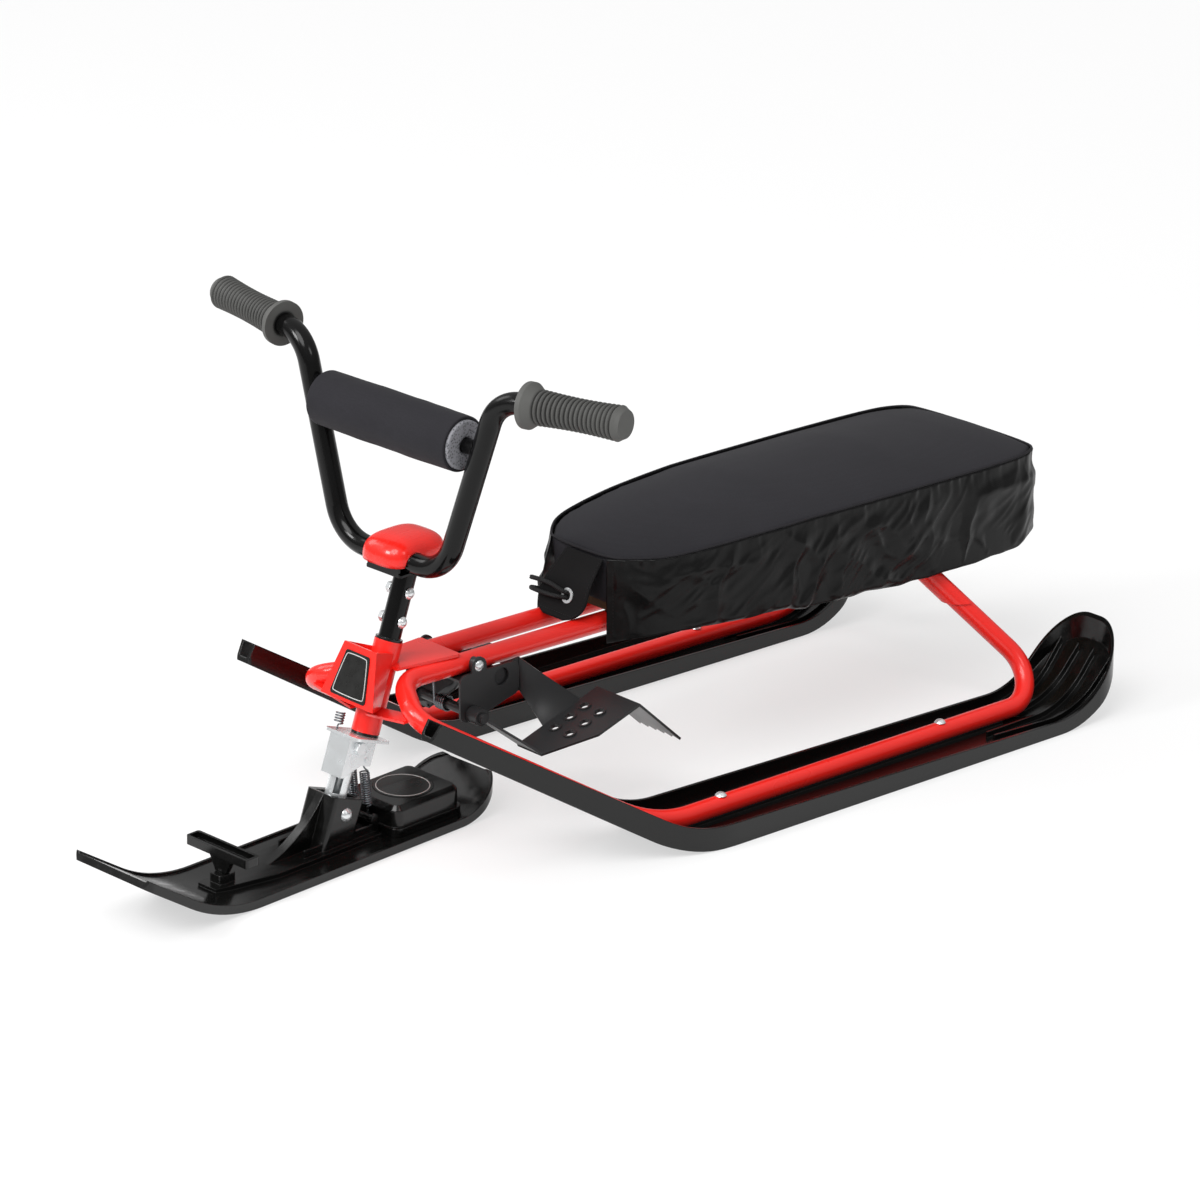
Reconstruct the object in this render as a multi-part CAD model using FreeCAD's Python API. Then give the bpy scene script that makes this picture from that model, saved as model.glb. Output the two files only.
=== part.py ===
import FreeCAD, Part
import math
import os
from FreeCAD import Placement, Rotation, Vector

os.makedirs("parts", exist_ok=True)

# A steering sled: a bent tube frame on two fixed rear skis, steered by a sprung front ski.
# Forward is -Y, the rider's left is +X and up is +Z. Places are measured from the ground in the
# mid-plane, and each finished piece is moved to put the origin under the middle of the whole.
# Sizes are in millimetres and degrees.

# Middle of the whole, seen from above
whole_middle_x = 7.9
whole_middle_y = -7.4

# Fits shared by every piece
overrun = 2.0
stand_off = 0.3
running_fit = 0.05
hook_gap = 0.1

# Head axis, leaning back from a point on the ground, and the turn it rests at
rake = 19.4
axis_ground_y = -294.0
rest_steer = 6.25

# Frame tubes
tube_od = 20.0
tube_wall = 1.5
top_run_x = 24.6
top_run_z = 164.8
top_run_rear_y = 420.0
nose_bend_y = -229.0
nose_out_x = 83.0
nose_out_y = -258.3
nose_out_z = 147.0
land_x = 186.0
land_y = -46.8
runner_x = 185.0
runner_rear_y = 509.3
leg_top_x = 57.2
leg_top_back = 118.9
leg_top_z = 178.9
nose_bend_r = 38.0
nose_out_bend_r = 26.0
land_bend_r = 126.0
rear_bend_r = 39.6

# Rear skis
ski_x = 193.6
ski_width = 106.0
ski_tip_x = 141.6
ski_tip_width = 18.0
ski_tip_y = -295.0
ski_tip_z = 154.2
ski_front_bend_y = -50.0
ski_taper_end_y = -20.0
ski_tail_run = 57.0
ski_tail_past = 47.7
ski_tail_z = 62.0
ski_bend_r = 140.0
ski_tail_r = 100.0
ski_floor = 4.0
ski_wall = 3.0
tip_wall_height = 20.5
front_wall_height = 24.0
rear_wall_height = 14.0
tail_wall_height = 21.0
ski_tip_corner_r = 5.0
ski_taper_corner_r = 180.0
ski_tail_corner_r = 46.0
saddle_height = 0.6
saddle_width = 15.0
saddle_front_y = -20.0
saddle_rear_back = 84.3
tube_rest_fit = 0.2
tail_rib_height = 6.0
tail_rib_width = 2.4
tail_rib_length = 172.0
tail_rib_end_gap = 14.0
tail_rib_half_span = 36.0
tail_rib_front_shares = (-0.72, -0.42, 0.42, 0.72)
tail_rib_rear_shares = (-1.0, -0.3, 0.3, 1.0)

# Ski screws, down through the runner tubes
ski_screw_front_y = 40.0
ski_screw_rear_back = 168.3
ski_screw_shank_r = 3.0
ski_screw_head_r = 6.0
ski_screw_head_height = 3.5
ski_screw_hole_fit = 0.15
ski_screw_tip_z = 2.0

# Head tube, bushes and the pressed box in front of them, measured along the head axis
head_bottom = 119.0
head_length = 92.0
head_od = 28.0
head_bore = 23.0
bush_flange = 2.4
bush_flange_r = 13.5
bush_depth = 14.0
bush_press_gap = 0.02
box_front = 33.0
box_bottom = 145.0
box_top = 200.5
box_top_half = 24.3
box_bottom_half = 40.0
box_sheet = 2.5
badge_bottom = 148.5
badge_top = 194.0
badge_top_half = 17.5
badge_bottom_half = 27.0
badge_thickness = 1.0
badge_corner_r = 3.0

# Gusset, straps and seat rails
sheet = 3.0
gusset_front_y = -246.0
gusset_rear_y = -160.0
gusset_front_half = 21.0
gusset_rear_half = 31.0
strap_root_x = 12.0
strap_root_y = -252.0
strap_root_z = 134.0
strap_end_x = 70.0
strap_end_y = -252.0
strap_end_z = 142.0
strap_width = 22.0
strap_sheet = 2.5
front_rail_y = 84.0
front_rail_width = 32.0
front_rail_half = 62.0
rear_rail_past = 1.6
rear_rail_width = 76.0
rear_rail_half = 84.0
rear_bolt_back = 24.0
stay_wall = 2.2
stay_bottom_z = 112.0

# Seat, from the front edge back: places along it and half widths there
seat_front_y = 18.0
seat_length = 548.0
seat_half = 111.0
seat_place_shares = (0.0, 0.025, 0.076, 0.15, 0.24, 0.395, 0.695, 0.913, 0.976, 1.0)
seat_half_shares = (0.37, 0.54, 0.75, 0.847, 0.919, 0.982, 1.0, 0.99, 0.90, 0.74)
board_inset = 9.0
board_thickness = 9.0
cushion_seam_z = 249.0
cushion_crown = 20.0
cushion_crown_shares = (0.2, 0.35, 0.5, 0.62, 0.75, 0.95, 1.0, 0.65, 0.45, 0.25)
cushion_draw = 4.0
seam_drop = 12.0
seam_drop_shares = (1.0, 0.95, 0.85, 0.6, 0.33, 0.05, 0.0, 0.0, 0.0, 0.0)
cushion_inset = 0.3
seat_bolt_x = 46.0
seat_bolt_shank_r = 3.0
seat_bolt_head_r = 6.0
seat_bolt_head_height = 3.0
seat_bolt_hole_fit = 0.15

# Skirt, flap and drawstring
cloth = 1.6
skirt_gap = 0.3
skirt_spacing = 20.0
skirt_flare = 2.0
skirt_fold = 2.6
skirt_fold_shares = (0.1, 0.9, -0.2, 0.7, 0.0, 1.0, 0.3, -0.6, 0.8, -0.1, 0.5, -0.8)
skirt_low_z = 138.0
hem_front_z = 157.0
hem_middle_z = 158.0
hem_middle_y = 200.0
hem_rear_z = 147.0
flap_half = 37.0
flap_top_y = 17.7
flap_top_z = 233.0
flap_knee_y = 1.0
flap_knee_z = 206.0
flap_end_y = -8.0
flap_end_z = 176.6
flap_knee_r = 40.0
flap_corner_r = 27.0
eyelet_x = 8.0
eyelet_z = 194.0
eyelet_r = 7.8
eyelet_bore_r = 4.8
eyelet_thickness = 1.2
cord_r = 2.0
cord_bend_r = 5.0
cord_wrap_gap = 1.2
cord_drop = 3.0
cord_end_past = 9.0

# Foot brake
brake_sheet = 2.5
shaft_y = -156.0
shaft_z = 118.0
shaft_r = 5.0
shaft_half = 62.0
bracket_x = 39.4
bracket_rear_y = -96.0
bracket_front_y = -170.0
bracket_tab_y = -146.0
bracket_tab_r = 9.0
bracket_low_z = 108.0
bracket_rear_low_z = 126.0
bracket_top_z = 159.0
bracket_corner_r = 8.0
bracket_boss_r = 7.0
notch_y = -118.0
notch_z = 147.0
notch_r = 9.0
bridge_front_y = -169.0
bridge_rear_y = -141.0
bridge_drop = 0.5
rivet_shank_r = 2.5
rivet_head_r = 5.5
rivet_head_height = 2.2
rivet_hole_fit = 0.1
tie_rod_r = 7.0
tie_rod_wall = 1.5
web_gap = 1.0
web_front_y = -167.0
web_low_y = -150.0
web_low_z = 107.0
web_rear_y = -92.0
web_rear_low_z = 126.0
web_rear_high_z = 160.0
web_crown_y = -112.0
web_crown_z = 158.0
web_front_high_z = 126.0
web_front_low_z = 112.0
pad_inner_x = 68.0
pad_outer_x = 132.0
pad_widest_y = -72.0
pad_front_y = -121.0
pad_front_z = 85.0
pad_rear_y = -18.0
pad_rear_z = 119.5
neck_front_y = -88.0
neck_rear_y = -40.0
claw_inner_x = 73.0
claw_tip_y = 36.0
claw_tip_z = 70.0
claw_teeth = 5
claw_tooth_depth = 8.0
arm_eye_x = 43.0
arm_eye_end_x = 58.0
arm_eye_r = 8.5
arm_pad_inner_x = 70.0
arm_pad_outer_x = 104.0
pad_hole_r = 4.6
pad_collar_r = 6.6
pad_collar_height = 1.6
pad_hole_x_pitch = 22.0
pad_hole_pitch = 20.0
pad_hole_first_x = 83.0
pad_hole_first = 38.0

# Steering tube, column and bolts, measured along the head axis
steer_tube_od = 17.4
steer_tube_wall = 2.0
steer_tube_top = 272.0
column_od = 22.0
column_slip = 0.1
column_bolt_high = 260.0
column_bolt_low = 231.0
column_bolt_r = 3.0
column_bolt_head_r = 6.0
column_bolt_head_height = 4.0
column_nut_r = 5.8
column_nut_height = 5.0
bolt_hole_fit = 0.1

# Bar cradle and cap
cradle_z = 270.4
cradle_sheet = 2.6
cradle_half = 24.0
cradle_front_y = -233.0
cradle_rear_y = -176.0
cradle_lip_height = 9.0
cap_half = 31.0
cap_front_y = -243.0
cap_rear_y = -167.0
cap_bottom_z = 281.5
cap_shoulder_z = 295.0
cap_top_z = 306.0
cap_wall = 2.6
cap_corner_r = 12.0
cap_crown_inset = 13.0
cap_crown_corner_r = 10.0
cap_notch_gap = 0.4
cap_tab_half = 9.0
cap_tab_low_z = 262.0
cap_tab_sheet = 2.6
cap_post_x = 17.0
cap_post_y = -186.0
cap_post_r = 5.0
cap_screw_r = 2.0
cap_screw_head_r = 4.0
cap_screw_head_height = 2.4
cap_screw_length = 22.0
cap_screw_fit = 0.1

# Handlebar, crossbar, pad and grips
bar_od = 21.5
bar_wall = 1.8
bar_y = -218.8
bar_base_x = 69.0
bar_top_x = 129.5
bar_top_y = -214.0
bar_top_z = 473.8
bar_end_x = 266.0
bar_end_y = -191.6
bar_end_z = 479.3
bar_base_bend_r = 44.5
bar_top_bend_r = 38.0
crossbar_od = 15.0
crossbar_wall = 1.5
crossbar_z = 418.5
pad_near_reach = 90.2
pad_far_reach = 100.2
pad_bore_gap = 0.4
pad_foam_od = 43.0
pad_cover_od = 49.0
pad_cover_short = 3.0
pad_cover_gap = 0.3
grip_length = 109.0
grip_flange_r = 22.5
grip_flange_thickness = 5.0
grip_body_r = 15.6
grip_waist = 1.4
grip_ring_height = 1.7
grip_rings = 18
grip_ring_start = 10.0
grip_end_cap = 4.0
grip_bore_fit = 0.05

# Fork bracket and leg, measured along and square to the head axis
flange_thickness = 3.0
flange_half = 23.0
flange_front = 34.0
flange_rear = 15.0
flange_corner_r = 6.0
channel_sheet = 2.5
channel_bottom = 74.0
channel_side_rear = 4.0
channel_side_low = 88.0
leg_forward = 19.0
leg_od = 22.0
leg_wall = 2.6
leg_slip = 0.3
leg_top = 111.0
leg_below_pivot = 12.0
leg_slot_width = 7.0
leg_slot_low = 57.0
leg_slot_high = 99.0
leg_slot_turn = 42.0
fork_bolt_along = 105.0
fork_bolt_r = 4.0
fork_bolt_head_r = 7.0
fork_bolt_head_height = 5.0
fork_nut_r = 7.5
fork_nut_height = 6.0
spring_pin_back = 3.5
spring_pin_along = 94.0
spring_pin_r = 2.5
spring_pin_half = 14.5
spring_pin_ear_r = 5.5

# Front ski
nose_tip_y = -584.0
nose_tip_z = 62.0
nose_front_bend_y = -488.0
nose_tail_bend_y = -152.0
nose_tail_y = -108.0
nose_tail_z = 30.0
nose_front_r = 170.0
nose_tail_r = 60.0
nose_width = 103.0
nose_deck = 7.0
nose_tip_corner_r = 9.0
nose_tail_corner_r = 36.0
rim_height = 2.0
rim_width = 3.0
plinth_half = 26.0
plinth_front_half = 12.0
plinth_front_y = -462.0
plinth_rear_y = -256.0
plinth_height = 5.0
tower_half = 20.0
tower_long = 44.0
tower_top = 56.0
tower_corner_r = 6.0
tower_pocket_half = 11.4
tower_pocket_long = 35.0
tower_pocket_floor = 19.0
fin_half = 5.0
fin_front_y = -392.0
fin_front_z = 13.0
fin_sag = 9.0
rib_half_gap = 16.0
rib_width = 2.5
rib_height = 8.0
rib_front_y = -352.0
rib_rear_y = -262.0
pivot_along = 40.0
pivot_r = 4.0
pivot_head_r = 7.0
pivot_head_height = 4.5
pivot_nut_r = 7.5
pivot_nut_height = 6.0
lug_pin_y = -258.0
lug_pin_z = 27.0
lug_x = 15.5
lug_sheet = 3.0
lug_r = 5.0

# Rope winder
winder_half = 36.5
winder_front_y = -247.0
winder_rear_y = -158.0
winder_wall = 2.6
winder_corner_r = 10.0
winder_top_z = 35.0
winder_step_out = 2.4
winder_step_height = 9.0
lid_thickness = 5.0
lid_bevel = 4.0
winder_badge_r = 29.5
winder_badge_thickness = 1.2
winder_badge_sink = 0.8
axle_r = 4.0
spool_r = 27.0
spool_hub_r = 18.5
spool_height = 11.0
spool_flange = 1.8
spool_lift = 1.0
mainspring_turns = 6
mainspring_inner_r = 5.0
mainspring_pitch = 2.8
mainspring_sheet = 0.7
mainspring_height = 5.0
rope_hole_r = 3.0

# Tow handle
handle_y = -442.0
handle_half = 42.0
handle_low_z = 41.0
handle_high_z = 50.0
handle_width = 17.0
handle_wall = 2.4
handle_corner_r = 3.0
stem_half_top = 17.0
stem_half_low = 7.0
stem_thickness = 6.0
stem_low_z = 23.5
peg_r = 4.0
peg_fit = 0.1
peg_low_z = 12.0
boss_half = 9.0
boss_long = 20.0
boss_top_z = 23.0
boss_corner_r = 4.0

# Springs
ski_wire_r = 0.8
ski_coil_r = 4.3
ski_coil_pitch = 2.5
ski_coil_turns = 14
ski_spring_x = 9.0
buffer_wire_r = 0.8
buffer_coil_r = 4.2
buffer_pitch = 2.6
buffer_turns = 4
buffer_x = -15.0
buffer_forward = 24.0
brake_wire_r = 1.0
brake_coil_gap = 1.2
brake_coil_pitch = 2.9
brake_coil_turns = 4
brake_leg_past = 9.0
coil_parts_per_turn = 4

# Sizes that follow from the ones above
tube_r = tube_od / 2
leg_top_y = runner_rear_y - leg_top_back
rear_rail_y = leg_top_y + rear_rail_past
rear_bolt_y = rear_rail_y - rear_bolt_back
saddle_rear_y = runner_rear_y - saddle_rear_back
ski_screw_rear_y = runner_rear_y - ski_screw_rear_back
ski_tail_y = runner_rear_y + ski_tail_past
ski_rear_bend_y = ski_tail_y - ski_tail_run
tail_rib_front_y = ski_tail_y - tail_rib_length
bar_r = bar_od / 2
leg_r = leg_od / 2
runner_z = ski_floor + saddle_height + tube_r + tube_rest_fit
rail_z = top_run_z + tube_r
board_z = rail_z + sheet
cushion_z = board_z + board_thickness + stand_off
bar_z = cradle_z + cradle_sheet + bar_r + stand_off
head_top = head_bottom + head_length
flange_top = head_bottom - bush_flange - hook_gap - stand_off
flange_low = flange_top - flange_thickness
column_low = head_top + bush_flange + hook_gap + stand_off
rake_sin = math.sin(math.radians(rake))
rake_cos = math.cos(math.radians(rake))
head_axis = Vector(0, rake_sin, rake_cos)
head_point = Vector(0, axis_ground_y, 0)
head_frame = Placement(head_point, Rotation(Vector(1, 0, 0), -rake))
side_drop = nose_width / 2 * rake_sin * math.sin(math.radians(rest_steer))
front_reach = axis_ground_y - nose_front_bend_y
front_drop = front_reach * rake_sin * rake_cos * (1 - math.cos(math.radians(rest_steer)))
front_lift = side_drop + front_drop
deck_z = front_lift + nose_deck
along_x = Vector(1, 0, 0)
along_y = Vector(0, 1, 0)
along_z = Vector(0, 0, 1)


# Shared building steps

def unit(vector):
    return Vector(vector).normalize()


def corner_arc(before, corner, after, radius):
    """Start, middle and end of the tangent arc that rounds one corner."""
    u = unit(before - corner)
    v = unit(after - corner)
    half = u.getAngle(v) / 2
    reach = radius / math.tan(half)
    crown = corner + unit(u + v) * (radius / math.sin(half) - radius)
    return corner + u * reach, crown, corner + v * reach


def round_edges(points, radii):
    """Edges of an open path, straight runs joined by a tangent arc at each inner point."""
    edges = []
    here = points[0]
    for before, corner, after, radius in zip(points, points[1:], points[2:], radii):
        start, crown, end = corner_arc(before, corner, after, radius)
        edges.append(Part.LineSegment(here, start).toShape())
        edges.append(Part.Arc(start, crown, end).toShape())
        here = end
    edges.append(Part.LineSegment(here, points[-1]).toShape())
    return edges


def round_loop(points, radii):
    """Closed wire with each corner rounded by its own radius."""
    count = len(points)
    arcs = []
    for i in range(count):
        arcs.append(corner_arc(points[i - 1], points[i], points[(i + 1) % count], radii[i]))
    edges = []
    for i, (start, crown, end) in enumerate(arcs):
        edges.append(Part.Arc(start, crown, end).toShape())
        edges.append(Part.LineSegment(end, arcs[(i + 1) % count][0]).toShape())
    return Part.Wire(edges)


def pipe(points, radii, radius):
    """Round rod swept along a path of straight runs and tangent arcs."""
    path = Part.Wire(round_edges(points, radii))
    ring = Part.Wire([Part.makeCircle(radius, points[0], points[1] - points[0])])
    return path.makePipeShell([ring], True, False)


def bent_tube(points, radii, outer, wall):
    """Hollow tube bent along a path."""
    return pipe(points, radii, outer / 2).cut(pipe(points, radii, outer / 2 - wall))


def sheet_prism(points, along):
    """Polygon pulled along a vector."""
    return Part.Face(Part.makePolygon(points + [points[0]])).extrude(along)


def loop_prism(points, radii, along):
    """Round-cornered polygon pulled along a vector."""
    return Part.Face(round_loop(points, radii)).extrude(along)


def block(x0, x1, y0, y1, z0, z1):
    return Part.makeBox(x1 - x0, y1 - y0, z1 - z0, Vector(x0, y0, z0))


def rod(start, along, radius, length):
    return Part.makeCylinder(radius, length, start, along)


def cross_rod(radius, y, z, half):
    """Rod along X, as long on both sides of the mid-plane."""
    return rod(Vector(-half, y, z), along_x, radius, half + half)


def hexagon(centre, along, radius, height):
    """Nut or bolt head across a direction, by its corner radius."""
    side = unit(along.cross(along_z + along_y))
    up = unit(along).cross(side)
    points = []
    for i in range(6):
        turn = math.pi * i / 3
        points.append(centre + side * (radius * math.cos(turn)) + up * (radius * math.sin(turn)))
    return sheet_prism(points, unit(along) * height)


def dome(centre, along, radius, height):
    """Low rounded screw head that stands on a face."""
    ball_r = (radius * radius + height * height) / (2 * height)
    ball = Part.makeSphere(ball_r, centre + unit(along) * (height - ball_r))
    return ball.common(rod(centre, along, radius, height + height))


def plan(z, pairs):
    return [Vector(x, y, z) for x, y in pairs]


def side(x, pairs):
    return [Vector(x, y, z) for y, z in pairs]


def mirrored(shape):
    return shape.mirror(Vector(0, 0, 0), along_x)


def both_sides(shape):
    return Part.makeCompound([shape, mirrored(shape)])


def raked(shape):
    """Stand a piece built along Z on the head axis."""
    placed = shape.copy()
    placed.Placement = head_frame.multiply(placed.Placement)
    return placed


def raked_point(x, back, along):
    return head_frame.multVec(Vector(x, back, along))


def steered(shape):
    """Turn a piece built straight ahead to where the steering rests."""
    turned = shape.copy()
    turned.rotate(head_point, head_axis, rest_steer)
    return turned


def rounded_block(half_x, y0, y1, z0, z1, radius):
    """Upright block with round corners in plan."""
    corners = [(-half_x, y0), (half_x, y0), (half_x, y1), (-half_x, y1)]
    return loop_prism(plan(z0, corners), [radius] * 4, Vector(0, 0, z1 - z0))


def fused(shapes):
    return shapes[0].multiFuse(shapes[1:]).removeSplitter()


def save(name, shape):
    placed = shape.copy()
    placed.translate(Vector(-whole_middle_x, -whole_middle_y, 0))
    placed.exportStep("parts/" + name + ".step")


# Coil springs

def tangent_arc(start, corner, end):
    """Arc that leaves start and reaches end along two lines that meet at a corner."""
    middle = (start + end) * 0.5
    rise = corner - middle
    half_chord = (end - start).Length / 2
    slope = math.atan2(rise.Length, half_chord)
    crown = middle + unit(rise) * (half_chord * math.tan(slope / 2))
    return Part.Arc(start, crown, end).toShape()


def biarc(start, leaving, end, arriving):
    """Two tangent arcs from one point and direction to another."""
    chord = end - start
    both = leaving + arriving
    a = both.dot(both) - 4
    b = chord.dot(both)
    reach = (b - math.sqrt(b * b - a * chord.dot(chord))) / a
    first = start + leaving * reach
    second = end - arriving * reach
    joint = (first + second) * 0.5
    return [tangent_arc(start, first, joint), tangent_arc(joint, second, end)]


def coil_stations(centre, along, across, radius, pitch, start_turn, turns):
    """Points and directions on a helix, spaced a quarter turn or less."""
    third = along.cross(across)
    parts = math.ceil(turns * coil_parts_per_turn)
    stations = []
    for i in range(parts + 1):
        turned = turns * i / parts
        angle = (start_turn + turned) * math.tau
        out = across * math.cos(angle) + third * math.sin(angle)
        onward = third * math.cos(angle) - across * math.sin(angle)
        point = centre + along * (pitch * turned) + out * radius
        heading = unit(onward * (radius * math.tau) + along * pitch)
        stations.append((point, heading))
    return stations


def coil_spring(name, stations, lead, tail, wire_r, loop_r):
    """Straight lead, coil and straight tail as one round wire; prints the gap between its turns."""
    first, heading = stations[0]
    last, leaving = stations[-1]
    start = first - heading * lead
    edges = [Part.LineSegment(start, first).toShape()]
    for (p, t), (q, s) in zip(stations, stations[1:]):
        edges.extend(biarc(p, t, q, s))
    edges.append(Part.LineSegment(last, last + leaving * tail).toShape())
    path = Part.Wire(edges)
    samples = path.discretize(Number=len(edges) * coil_parts_per_turn)
    step = path.Length / (len(samples) - 1)
    skip = math.ceil(math.pi * loop_r / step)
    nearest = min((q - p).Length for i, p in enumerate(samples) for q in samples[i + skip:])
    print(name, "gap between turns", round(nearest - wire_r - wire_r, 2))
    ring = Part.Wire([Part.makeCircle(wire_r, start, heading)])
    return path.makePipeShell([ring], True, False)


# Frame

def frame_path():
    return [
        Vector(top_run_x, top_run_rear_y, top_run_z),
        Vector(top_run_x, nose_bend_y, top_run_z),
        Vector(nose_out_x, nose_out_y, nose_out_z),
        Vector(land_x, land_y, runner_z),
        Vector(runner_x, runner_rear_y, runner_z),
        Vector(leg_top_x, leg_top_y, leg_top_z),
    ]


frame_radii = [nose_bend_r, nose_out_bend_r, land_bend_r, rear_bend_r]


def frame_rod(radius):
    """Solid envelope of the left frame tube, used to shape what it touches."""
    return pipe(frame_path(), frame_radii, radius)


def nose_rods():
    """Envelope of the left tube round its nose bend, as a rod, a ring section and a rod."""
    before, corner, after = frame_path()[:3]
    start, crown, end = corner_arc(before, corner, after, nose_bend_r)
    along = unit(corner - start)
    leaving = unit(end - corner)
    axis = unit(along.cross(leaving))
    hub = start + axis.cross(along) * nose_bend_r
    ring = Part.Face(Part.Wire([Part.makeCircle(tube_r, start, along)]))
    return [
        rod(before, along, tube_r, (start - before).Length),
        ring.revolve(hub, axis, math.degrees(along.getAngle(leaving))),
        rod(end, leaving, tube_r, (after - end).Length),
    ]


def ski_screw_places():
    """Where the two screws of the left ski go down through the runner tube."""
    places = []
    for y in (ski_screw_front_y, ski_screw_rear_y):
        share = (y - land_y) / (runner_rear_y - land_y)
        places.append(Vector(land_x + (runner_x - land_x) * share, y, 0))
    return places


def drilled(shape, radius, low_z, high_z):
    """Cut the ski screw holes."""
    for place in ski_screw_places():
        shape = shape.cut(rod(place + along_z * low_z, along_z, radius, high_z - low_z))
    return shape


def rivet_hole():
    start = Vector(top_run_x, bracket_tab_y, top_run_z)
    return rod(start, along_x, rivet_shank_r + rivet_hole_fit, tube_od)


def frame_tube_left():
    tube = bent_tube(frame_path(), frame_radii, tube_od, tube_wall)
    above = block(0, runner_x, leg_top_y - rear_rail_width, runner_rear_y, rail_z, rail_z + tube_od)
    tube = tube.cut(above)
    hole_r = ski_screw_shank_r + ski_screw_hole_fit
    tube = drilled(tube, hole_r, 0, runner_z + tube_od)
    return tube.cut(rivet_hole())


def ski_screws():
    screws = []
    for place in ski_screw_places():
        top = place + along_z * (runner_z + tube_r)
        shank = rod(place + along_z * ski_screw_tip_z, along_z, ski_screw_shank_r, top.z - ski_screw_tip_z)
        screws.append(shank.fuse(dome(top, along_z, ski_screw_head_r, ski_screw_head_height)))
    left = Part.makeCompound(screws)
    return Part.makeCompound(screws + mirrored(left).Solids)


# Rear skis

def raised_corners(points, heights):
    """Corners of a profile lifted square to it, by their own heights."""
    ways = [unit(after - before) for before, after in zip(points, points[1:])]
    lifted = []
    for point, behind, ahead, height in zip(points, ways[:1] + ways, ways + ways[-1:], heights):
        up = along_x.cross(ahead) + along_x.cross(behind)
        lifted.append(point + up * (height / (1 + ahead.dot(behind))))
    return lifted


def profile_band(points, radii, low, high, half):
    """Band between two lifted copies of a profile, pulled along X on both sides of its plane."""
    lower = raised_corners(points, low)
    upper = raised_corners(points, high)
    lower_edges = round_edges(lower, [r - h for r, h in zip(radii, low[1:])])
    upper_edges = round_edges(upper, [r - h for r, h in zip(radii, high[1:])])
    ends = [Part.LineSegment(lower[i], upper[i]).toShape() for i in (0, -1)]
    wire = Part.Wire(Part.__sortEdges__(lower_edges + upper_edges + ends))
    band = Part.Face(wire).extrude(along_x * (half + half))
    band.translate(along_x * -half)
    return band


def rear_ski_left():
    # The profile runs on past the outline, so that the rim keeps its height round the tail.
    tail_end_rise = ski_tail_z * (ski_tail_run + tail_wall_height) / ski_tail_run
    profile = side(0, [
        (ski_tip_y, ski_tip_z),
        (ski_front_bend_y, 0),
        (ski_rear_bend_y, 0),
        (ski_tail_y + tail_wall_height, tail_end_rise),
    ])
    radii = [ski_bend_r, ski_tail_r]
    half = ski_width / 2
    reach = ski_x + ski_width
    outline = round_loop(
        plan(-overrun, [
            (ski_tip_x - ski_tip_width / 2, ski_tip_y),
            (ski_tip_x + ski_tip_width / 2, ski_tip_y),
            (ski_x + half, ski_taper_end_y),
            (ski_x + half, ski_tail_y),
            (ski_x - half, ski_tail_y),
            (ski_x - half, ski_taper_end_y),
        ]),
        [ski_tip_corner_r, ski_tip_corner_r, ski_taper_corner_r,
         ski_tail_corner_r, ski_tail_corner_r, ski_taper_corner_r],
    )
    height = Vector(0, 0, ski_tip_z + ski_width)
    block_out = Part.Face(outline).extrude(height)
    block_in = Part.Face(outline.makeOffset2D(-ski_wall)).extrude(height)
    floor = profile_band(profile, radii, [0] * 4, [ski_floor] * 4, reach).common(block_out)
    heights = [tip_wall_height, front_wall_height, rear_wall_height, tail_wall_height]
    walls = profile_band(profile, radii, [0] * 4, heights, reach).common(block_out.cut(block_in))
    saddle_face = plan(-overrun, [
        (land_x - saddle_width / 2, saddle_front_y),
        (land_x + saddle_width / 2, saddle_front_y),
        (runner_x + saddle_width / 2, saddle_rear_y),
        (runner_x - saddle_width / 2, saddle_rear_y),
    ])
    low = [ski_floor] * 4
    saddle_top = ski_floor + saddle_height + tube_r / 2
    saddle = profile_band(profile, radii, low, [saddle_top] * 4, reach)
    saddle = saddle.common(sheet_prism(saddle_face, height))
    rib_band = profile_band(profile, radii, low, [ski_floor + tail_rib_height] * 4, reach)
    ribs = []
    for front, rear in zip(tail_rib_front_shares, tail_rib_rear_shares):
        x0 = ski_x + tail_rib_half_span * front
        x1 = ski_x + tail_rib_half_span * rear
        face = plan(-overrun, [
            (x0 - tail_rib_width / 2, tail_rib_front_y),
            (x0 + tail_rib_width / 2, tail_rib_front_y),
            (x1 + tail_rib_width / 2, ski_tail_y - tail_rib_end_gap),
            (x1 - tail_rib_width / 2, ski_tail_y - tail_rib_end_gap),
        ])
        ribs.append(rib_band.common(sheet_prism(face, height)))
    ski = fused([floor, walls, saddle] + ribs)
    ski = ski.cut(frame_rod(tube_r + tube_rest_fit))
    return drilled(ski, ski_screw_shank_r + ski_screw_hole_fit, ski_screw_tip_z - stand_off, runner_z)


# Head

def head_tube():
    return raked(axis_tube(head_bottom, head_top, head_od, head_bore))


def head_bush(end, inward):
    """Flanged plastic bush pressed into one end of the head tube."""
    low = Vector(0, 0, end) - along_z * (inward * hook_gap)
    along = along_z * inward
    flange = rod(low, along * -1, bush_flange_r, bush_flange)
    sleeve = rod(low, along, head_bore / 2 - bush_press_gap, bush_depth)
    bore_start = low - along * (bush_flange + overrun)
    bore_length = bush_flange + bush_depth + overrun + overrun
    bore = rod(bore_start, along, steer_tube_od / 2 + running_fit, bore_length)
    return raked(flange.fuse(sleeve).cut(bore).removeSplitter())


def box_loop(half, level, inset):
    """Open-backed box outline at one level, as seen along the head axis."""
    root = head_od / 2 - inset
    return Part.makePolygon(plan(level, [
        (-root, overrun), (-root, 0), (-half + inset, inset - box_front), (half - inset, inset - box_front),
        (root, 0), (root, overrun), (-root, overrun),
    ]))


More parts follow.
